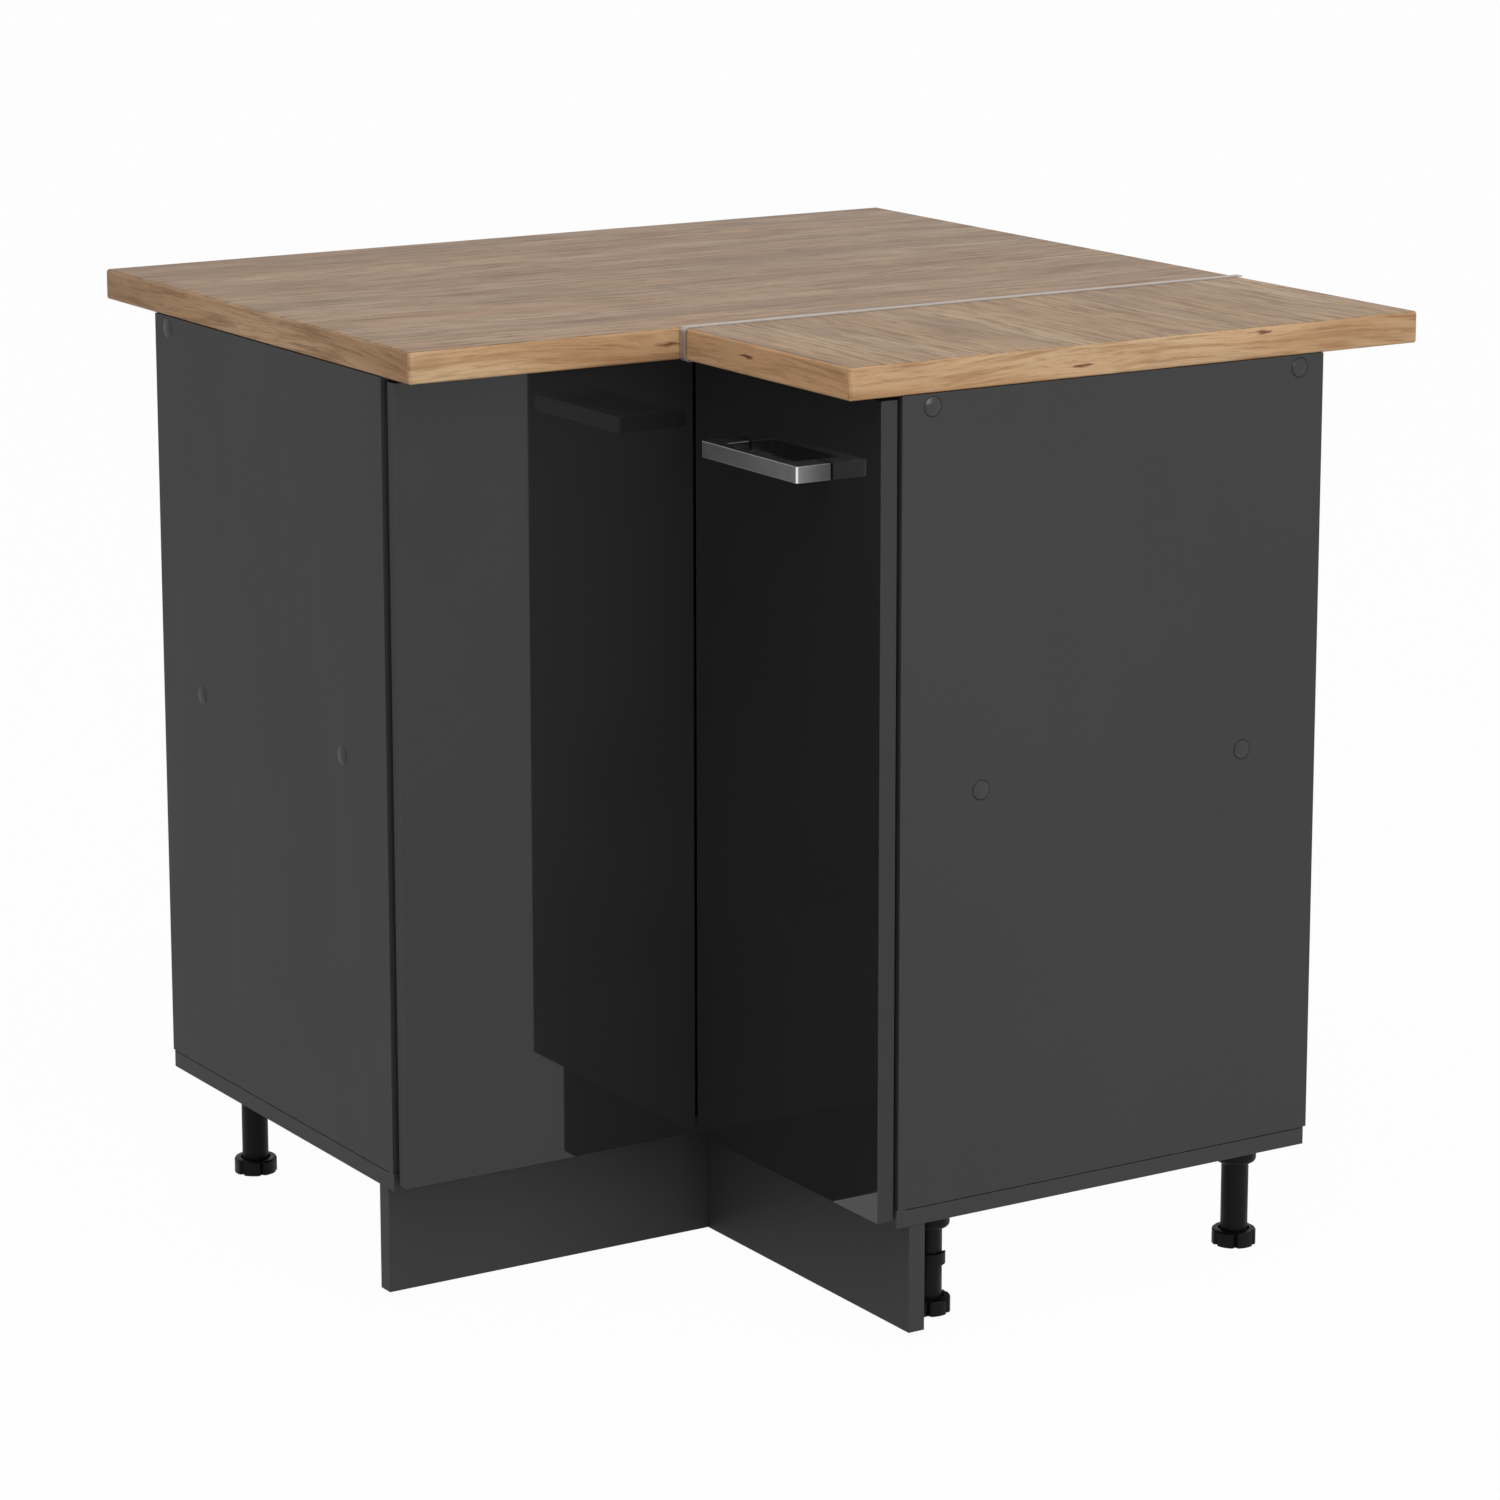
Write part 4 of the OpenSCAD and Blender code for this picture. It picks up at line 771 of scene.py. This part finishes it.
def make_worktop():
    """The two boards, with the upright corner at their front and left rounded, as the edge band goes round
    it, and the strip and bolts of their joint."""
    corner_r = 4 * MM
    for node, name, top, side in (
        ("worktop_main", "worktop_board_main", oak_top_main, oak_side_edge),
        ("worktop_wing", "worktop_board_right", oak_top_wing, oak_inner_edge_painted_lighter),
    ):
        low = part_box(node)[0]
        board = merged_copy(node, name)
        edit(board)
        for degrees in (18, 36, 54, 72):
            turn = math.radians(degrees)
            outward = Vector((-math.cos(turn), -math.sin(turn), 0))
            on_arc = low + Vector((corner_r, corner_r, 0)) + outward * corner_r
            cut_whole(on_arc, outward, clear_outer=True, use_fill=True)
        leave_edit()
        wear(
            soften(board, 0.35 * MM, 2, 50), chipboard,
            (top, is_top), (backing, is_underside), (oak_front_edge, is_front_edge), (side, is_side_edge),
        )
        stand_for(board, node)
    strip = thin_strip(merged_copy("worktop_joint_strip", "joint_strip_profile"))
    wear(soften(strip, 0.12 * MM, 2, 50), strip_metal)
    stand_for(strip, "worktop_joint_strip")
    refined("worktop_joint_bolts", "joint_bolts_and_nuts", "screw_steel", zinc, rounding=0.3)


# Carcass


def make_bottom_board():
    """The bottom board, with a fine groove under each side panel that stops short of the front band."""
    low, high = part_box("bottom_board")
    front_x, front_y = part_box("right_side_panel")[0].x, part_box("left_side_panel")[0].y
    lip, gap, depth, band, rear = 0.4 * MM, 0.8 * MM, 1.6 * MM, 8 * MM, 2 * MM
    start = Vector((front_x + band, front_y + band, high.z - lip - gap))
    end = Vector((high.x - rear, high.y - rear, high.z - lip))
    board = merged_copy("bottom_board", "bottom_board_with_bands")
    edit(board)
    for corner in (start, end):
        for way in ((1, 0, 0), (0, 1, 0), (0, 0, 1)):
            cut_whole(corner, way)
    for across, along_end, inward in ((1, 0, (0, depth, 0)), (0, 1, (depth, 0, 0))):

        def in_groove(f):
            at = f.calc_center_median()
            on_end = f.normal[across] < -STRICT and at[across] < low[across] + 0.1 * MM
            return on_end and start.z < at.z < end.z and start[along_end] < at[along_end] < end[along_end]

        pick_faces(board, in_groove)
        bpy.ops.mesh.extrude_region_move(TRANSFORM_OT_translate={"value": inward})
    leave_edit()
    soften(board, 0.15 * MM)
    wear(board, grey_board, (grey_edge, lambda f: f.normal.y < -CLOSE or f.normal.x < -CLOSE))
    stand_for(board, "bottom_board")


def make_carcass():
    """The boards of the body, its post and dowels, the back panels and the plinth boards."""
    forward = towards(0, -1, 0)
    sideways = towards(-1, 0, 0)

    def either_front(face):
        return forward(face) or sideways(face)

    for node, name in (
        ("left_side_panel", "side_panel_left"),
        ("right_side_panel", "side_panel_right"),
        ("fixed_shelf", "shelf_with_bands"),
        ("left_front_rail", "rail_left_front"),
        ("left_rear_rail", "rail_left_rear"),
        ("right_front_rail", "rail_right_front"),
        ("right_rear_rail", "rail_right_rear"),
    ):
        banded = {"left_side_panel": forward, "right_side_panel": sideways}.get(node, either_front)
        refined(node, name, "grey_board", grey_board, (grey_edge, banded), rounding=0.5)
    make_bottom_board()
    refined("rear_corner_post", "post_in_wall_corner", "raw_wood", wood_upright, rounding=0.6)
    for side, wall in (("left", towards(0, 1, 0)), ("right", towards(1, 0, 0))):
        bare = (hardboard_raw, wall)
        refined(f"{side}_back_panel", f"back_panel_{side}", "back_board", hardboard, bare, rounding=0.2)
    for side, end in (("left", sideways), ("right", forward)):
        band = (grey_edge, end)
        refined(f"{side}_plinth", f"plinth_{side}", "plinth_board", plinth_grey, band, rounding=0.5)
    refined("rail_dowels", "dowels_in_rails", "raw_wood", wood_dowel, rounding=0.4)


# Doors, handle, hinges


def make_handle():
    """The bow handle, with a painted highlight on its arrises, lit and shaded copies of its metal on its
    faces, and a thin band of black plastic painted where its arms meet the door, standing for the shade at
    that contact.
    """
    handle = merged_copy("handle", "bow_handle")
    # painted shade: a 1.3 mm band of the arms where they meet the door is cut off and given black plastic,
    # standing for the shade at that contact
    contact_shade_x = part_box("handle")[1].x - 1.3 * MM
    edit(handle)
    cut_whole((contact_shade_x, 0, 0), (1, 0, 0))
    leave_edit()
    soften(handle, 1.5 * MM, 2, 25)
    low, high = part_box("handle")
    middle_y = (low.y + high.y) / 2
    slanted = 0.97  # a rounded edge looks less than this in every direction of the axes

    def between_arms(face):
        off = face.center.y - middle_y
        return off * face.normal.y < -CLOSE * abs(off)

    wear(
        handle, handle_metal,
        # painted shade at the foot of the arms
        (black_plastic, lambda f: f.center.x > contact_shade_x),
        # painted highlight on the rounded arrises
        (handle_arris_painted_highlight, lambda f: max(abs(n) for n in f.normal) < slanted),
        (handle_top_painted_lighter, lambda f: abs(f.normal.z) > CLOSE),
        (handle_front_painted_darker, lambda f: f.normal.x < -CLOSE),
        (handle_inside_painted_darker, lambda f: f.normal.x > CLOSE or between_arms(f)),
    )
    stand_for(handle, "handle")


def make_doors():
    """The two doors with their handle and hinges."""
    for side, front, back in (("left", (0, -1, 0), (0, 1, 0)), ("right", (-1, 0, 0), (1, 0, 0))):
        refined(
            f"{side}_door", f"door_{side}", "gloss_door", door_edge,
            (gloss_face, towards(*front, least=0.99)), (grey_board, towards(*back)), rounding=0.8, segments=3,
        )
    make_handle()
    for level in ("lower", "upper"):
        for part, metal, rounding in (
            ("hinge_plate", nickel, 0.35),
            ("hinge_arm", nickel, 0.35),
            ("hinge_cup", nickel, 0.25),
            ("fold_leaf_left", nickel_painted_dark, 0.25),
            ("fold_leaf_right", nickel_painted_dark, 0.25),
        ):
            refined(f"{level}_{part}", f"{part}_{level}", "hinge_steel", metal, rounding=rounding)
    refined("side_hinge_pins", "pins_of_side_hinges", "hinge_steel", nickel, rounding=0.2)
    refined("fold_hinge_pins", "pins_of_fold_hinges", "hinge_steel", nickel_painted_dark, rounding=0.3)


# Legs and plinth fittings


def black_part(node, name, rounding):
    refined(node, name, "black_plastic", black_plastic, rounding=rounding)


def make_legs():
    for leg in ("left_rear", "left_front", "inner_corner", "right_front", "right_rear", "wall_corner"):
        black_part(f"{leg}_leg_tube", f"leg_tube_{leg}", 0.4)
        black_part(f"{leg}_foot", f"levelling_foot_{leg}", 0.25)
    black_part("leg_sockets", "sockets_of_legs", 0.5)
    for side in ("left", "right"):
        black_part(f"{side}_plinth_clip", f"plinth_clip_{side}", 0.3)
    refined("plinth_corner_plate", "corner_plate_of_plinth", "hinge_steel", nickel, rounding=0.3)


# Caps, pads and screws


def cylinder(radius, height, corners):
    """A cylinder from the origin up to z = height."""
    bpy.ops.mesh.primitive_cylinder_add(
        vertices=corners, radius=radius, depth=height, location=(0, 0, height / 2)
    )
    bpy.ops.object.transform_apply(location=True, rotation=True, scale=True)
    return bpy.context.object


def cap_template(radius, height):
    """Cover cap, a low dome on an upright rim, its top at z = 0 and its foot at z = height."""
    cap = cylinder(radius, height, 40)
    edit(cap)
    pick_faces(cap, lambda f: f.normal.z < -STRICT)
    for share in (0.12, 0.14, 0.16, 0.16, 0.16, 0.14):
        bpy.ops.mesh.inset(thickness=radius * share, depth=0)
    mesh = bmesh.from_edit_mesh(cap.data)
    for v in mesh.verts:
        if v.co.z < height / 2:
            v.co.z = height * 0.9 * (v.co.xy.length / radius) ** 2
    bmesh.update_edit_mesh(cap.data)
    leave_edit()
    only(cap)
    bpy.ops.object.shade_smooth_by_angle(angle=math.radians(40))
    return cap


def make_caps():
    """Cover caps with their outer ring in dark plastic as painted shade, those at the left end in a more matt
    plastic painted a little darker.
    """
    found = solids_of("screw_cover_caps")
    cap_r = found[0][3]
    proud = 0.8 * MM
    template = cap_template(cap_r, proud)
    faces_each = len(template.data.polygons)
    # painted shade: the outer ring of each cap gets a near black plastic, for the shade round its foot
    rim_start = 0.86 * cap_r
    rim = {f.index for f in template.data.polygons if f.center.xy.length > rim_start}
    caps = copies_at(template, "cover_caps", [(top, way) for top, way, _, _ in found])
    # the caps at the left end are a shaded copy: more matt and painted a little darker
    left_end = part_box("left_side_panel")[0].x + 0.1 * MM
    wear(
        caps, cap_grey,
        (cap_rim_painted_shade, lambda f: f.index % faces_each in rim),
        (cap_matt_painted_darker, lambda f: f.center.x < left_end),
    )
    stand_for(caps, "screw_cover_caps")


def screw_template(head_r, head_h, shank_r, length):
    """Screw with a rounded head and a cross recess, drawn along +Z from the top of its head at z = 0."""
    screw = cylinder(head_r, head_h, 24)
    edit(screw)
    pick_edges(screw, lambda e: all(v.co.z < TINY and v.co.xy.length > head_r * 0.99 for v in e.verts))
    bpy.ops.mesh.bevel(offset=min(head_h * 0.8, head_r * 0.3), segments=4, affect="EDGES")
    pick_faces(screw, lambda f: f.normal.z > STRICT and f.calc_center_median().xy.length < head_r * 0.1)
    bpy.ops.mesh.inset(thickness=head_r - shank_r, depth=0)
    bpy.ops.mesh.extrude_region_move(TRANSFORM_OT_translate={"value": (0, 0, length - head_h)})
    leave_edit()
    # the cross recess is cut by two crossed blades that narrow with depth
    blades = []
    for turn in (0, 90):
        bpy.ops.mesh.primitive_cube_add(size=1, location=(0, 0, 0))
        blade = bpy.context.object
        blade.scale = (head_r * 1.15, head_r * 0.24, head_h * 1.1)
        blade.rotation_euler = (0, 0, math.radians(turn))
        bpy.ops.object.transform_apply(location=True, rotation=True, scale=True)
        edit(blade)
        pick_faces(blade, lambda f: f.normal.z > STRICT)
        bpy.ops.transform.resize(value=(0.45, 0.45, 1))
        leave_edit()
        blades.append(blade)
    for blade in blades:
        only(screw)
        cut = screw.modifiers.new("cross recess", "BOOLEAN")
        cut.operation = "DIFFERENCE"
        cut.object = blade
        bpy.ops.object.modifier_apply(modifier=cut.name)
    for blade in blades:
        bpy.data.objects.remove(blade)
    only(screw)
    bpy.ops.object.shade_smooth_by_angle(angle=math.radians(32))
    return screw


def make_screws():
    """Screws with a cross recess, at the own places of the screws of each node."""
    for node, name, head_h, shank_r in (
        ("hinge_plate_screws", "screws_of_hinge_plates", 2.0, 1.6),
        ("left_door_hinge_screws", "screws_of_left_door", 1.5, 1.6),
        ("right_door_hinge_screws", "screws_of_right_door", 1.5, 1.6),
        ("plinth_screws", "screws_of_plinth", 1.5, 1.6),
        ("back_panel_screws", "screws_of_back_panels", 1.5, 1.4),
        ("worktop_fixing_screws", "screws_of_worktop", 2.4, 2.0),
    ):
        found = solids_of(node)
        groups = {}
        for top, way, length, reach in found:
            groups.setdefault((round(length, 5), round(reach, 5)), []).append((top, way))
        made = []
        for (length, reach), places in groups.items():
            template = screw_template(reach, head_h * MM, shank_r * MM, length)
            made.append(copies_at(template, name, places))
        stand_for(wear(joined(made, name), zinc), node)


def make_pads():
    refined("door_bumpers", "soft_door_pads", "clear_bumper", clear_pad, rounding=0.6, segments=3)


make_worktop()
make_carcass()
make_doors()
make_legs()
make_caps()
make_screws()
make_pads()

for hidden in ("connecting_screws", "handle_screws"):
    for s in frame["nodes"][hidden].material_slots:
        s.material = zinc


# Studio


def seen_rays(g):
    """1 for rays that come from the camera or from a mirror-like or clear surface, 0 for diffuse light."""
    path = g.add("LightPath")
    seen = g.plus(path.outputs["Is Camera Ray"], path.outputs["Is Glossy Ray"])
    return g.maths("ADD", seen, path.outputs["Is Transmission Ray"], clamp=True)


def make_floor():
    """A pale floor just below the feet. What the camera sees of it is nearly white, less so in the shade."""
    below_feet, white_share = -0.0004, 0.975
    bpy.ops.mesh.primitive_plane_add(size=60, location=(0, 0, below_feet))
    floor = bpy.context.object
    floor.name = "floor"
    bpy.ops.object.transform_apply(location=True)
    material = bpy.data.materials.new("pale floor")
    material.use_nodes = True
    g = Graph(material.node_tree)
    material.node_tree.nodes.remove(material.node_tree.nodes["Principled BSDF"])
    place = g.add("TexCoord").outputs["Object"]
    colour = g.blend(g.noise(place, 2.0, 2.0), (0.71, 0.71, 0.71, 1), (0.73, 0.73, 0.73, 1))
    matt = g.add("BsdfDiffuse", {"Color": colour})
    glow = g.add("Emission", {"Color": (1, 1, 1, 1), "Strength": 1.0})
    share = g.times(seen_rays(g), white_share)
    both = g.add("MixShader", {0: share, 1: matt.outputs[0], 2: glow.outputs[0]})
    g.put(material.node_tree.nodes["Material Output"].inputs["Surface"], both.outputs[0])
    floor.data.materials.append(material)


def make_world():
    """A white surround that gives soft light of its own strength."""
    world = bpy.data.worlds.new("studio")
    bpy.context.scene.world = world
    world.use_nodes = True
    g = Graph(world.node_tree)
    soft = world.node_tree.nodes["Background"]
    soft.inputs["Color"].default_value = (1, 1, 1, 1)
    soft.inputs["Strength"].default_value = 0.45
    white = g.add("Background", {"Color": (1, 1, 1, 1), "Strength": 1.0})
    both = g.add("MixShader", {0: seen_rays(g), 1: soft.outputs[0], 2: white.outputs[0]})
    g.put(world.node_tree.nodes["World Output"].inputs["Surface"], both.outputs[0])


def make_lamp(name, place, aim, size, power, mirrored=False):
    """A square soft lamp. mirrored lets it show as a glint in smooth surfaces."""
    data = bpy.data.lights.new(name, "AREA")
    data.shape = "SQUARE"
    data.size = size
    data.energy = power
    lamp = bpy.data.objects.new(name, data)
    bpy.context.scene.collection.objects.link(lamp)
    lamp.location = place
    lamp.rotation_euler = (Vector(aim) - Vector(place)).to_track_quat("-Z", "Y").to_euler()
    lamp.visible_glossy = mirrored


def make_camera():
    """The photograph's camera: sensor and lens in millimetres, shifts in widths of the picture."""
    tilt_down, turn = 0.2049, -0.5627  # in radians
    data = bpy.data.cameras.new("camera")
    data.sensor_width = 36
    data.lens = 118.24
    data.shift_x = -0.0097
    data.shift_y = -0.1
    data.clip_start, data.clip_end = 0.1, 200
    camera = bpy.data.objects.new("camera", data)
    bpy.context.scene.collection.objects.link(camera)
    camera.location = spot(-1913.4, -3323.3, 1488.5)
    camera.rotation_euler = (math.radians(90) - tilt_down, 0, turn)
    bpy.context.scene.camera = camera


make_floor()
make_world()
make_lamp("lamp_front", (-0.4, -4.8, 1.5), aim=(0, 0, 0.45), size=2.2, power=28)
make_lamp("lamp_for_glints", (1.3, -4.7, 1.35), aim=(0, 0, 0.45), size=1.8, power=36, mirrored=True)
make_lamp("lamp_above", (-0.8, -1.6, 3.6), aim=(0, 0, 0.8), size=2.6, power=46)
make_camera()
bpy.context.scene.view_settings.view_transform = "Standard"
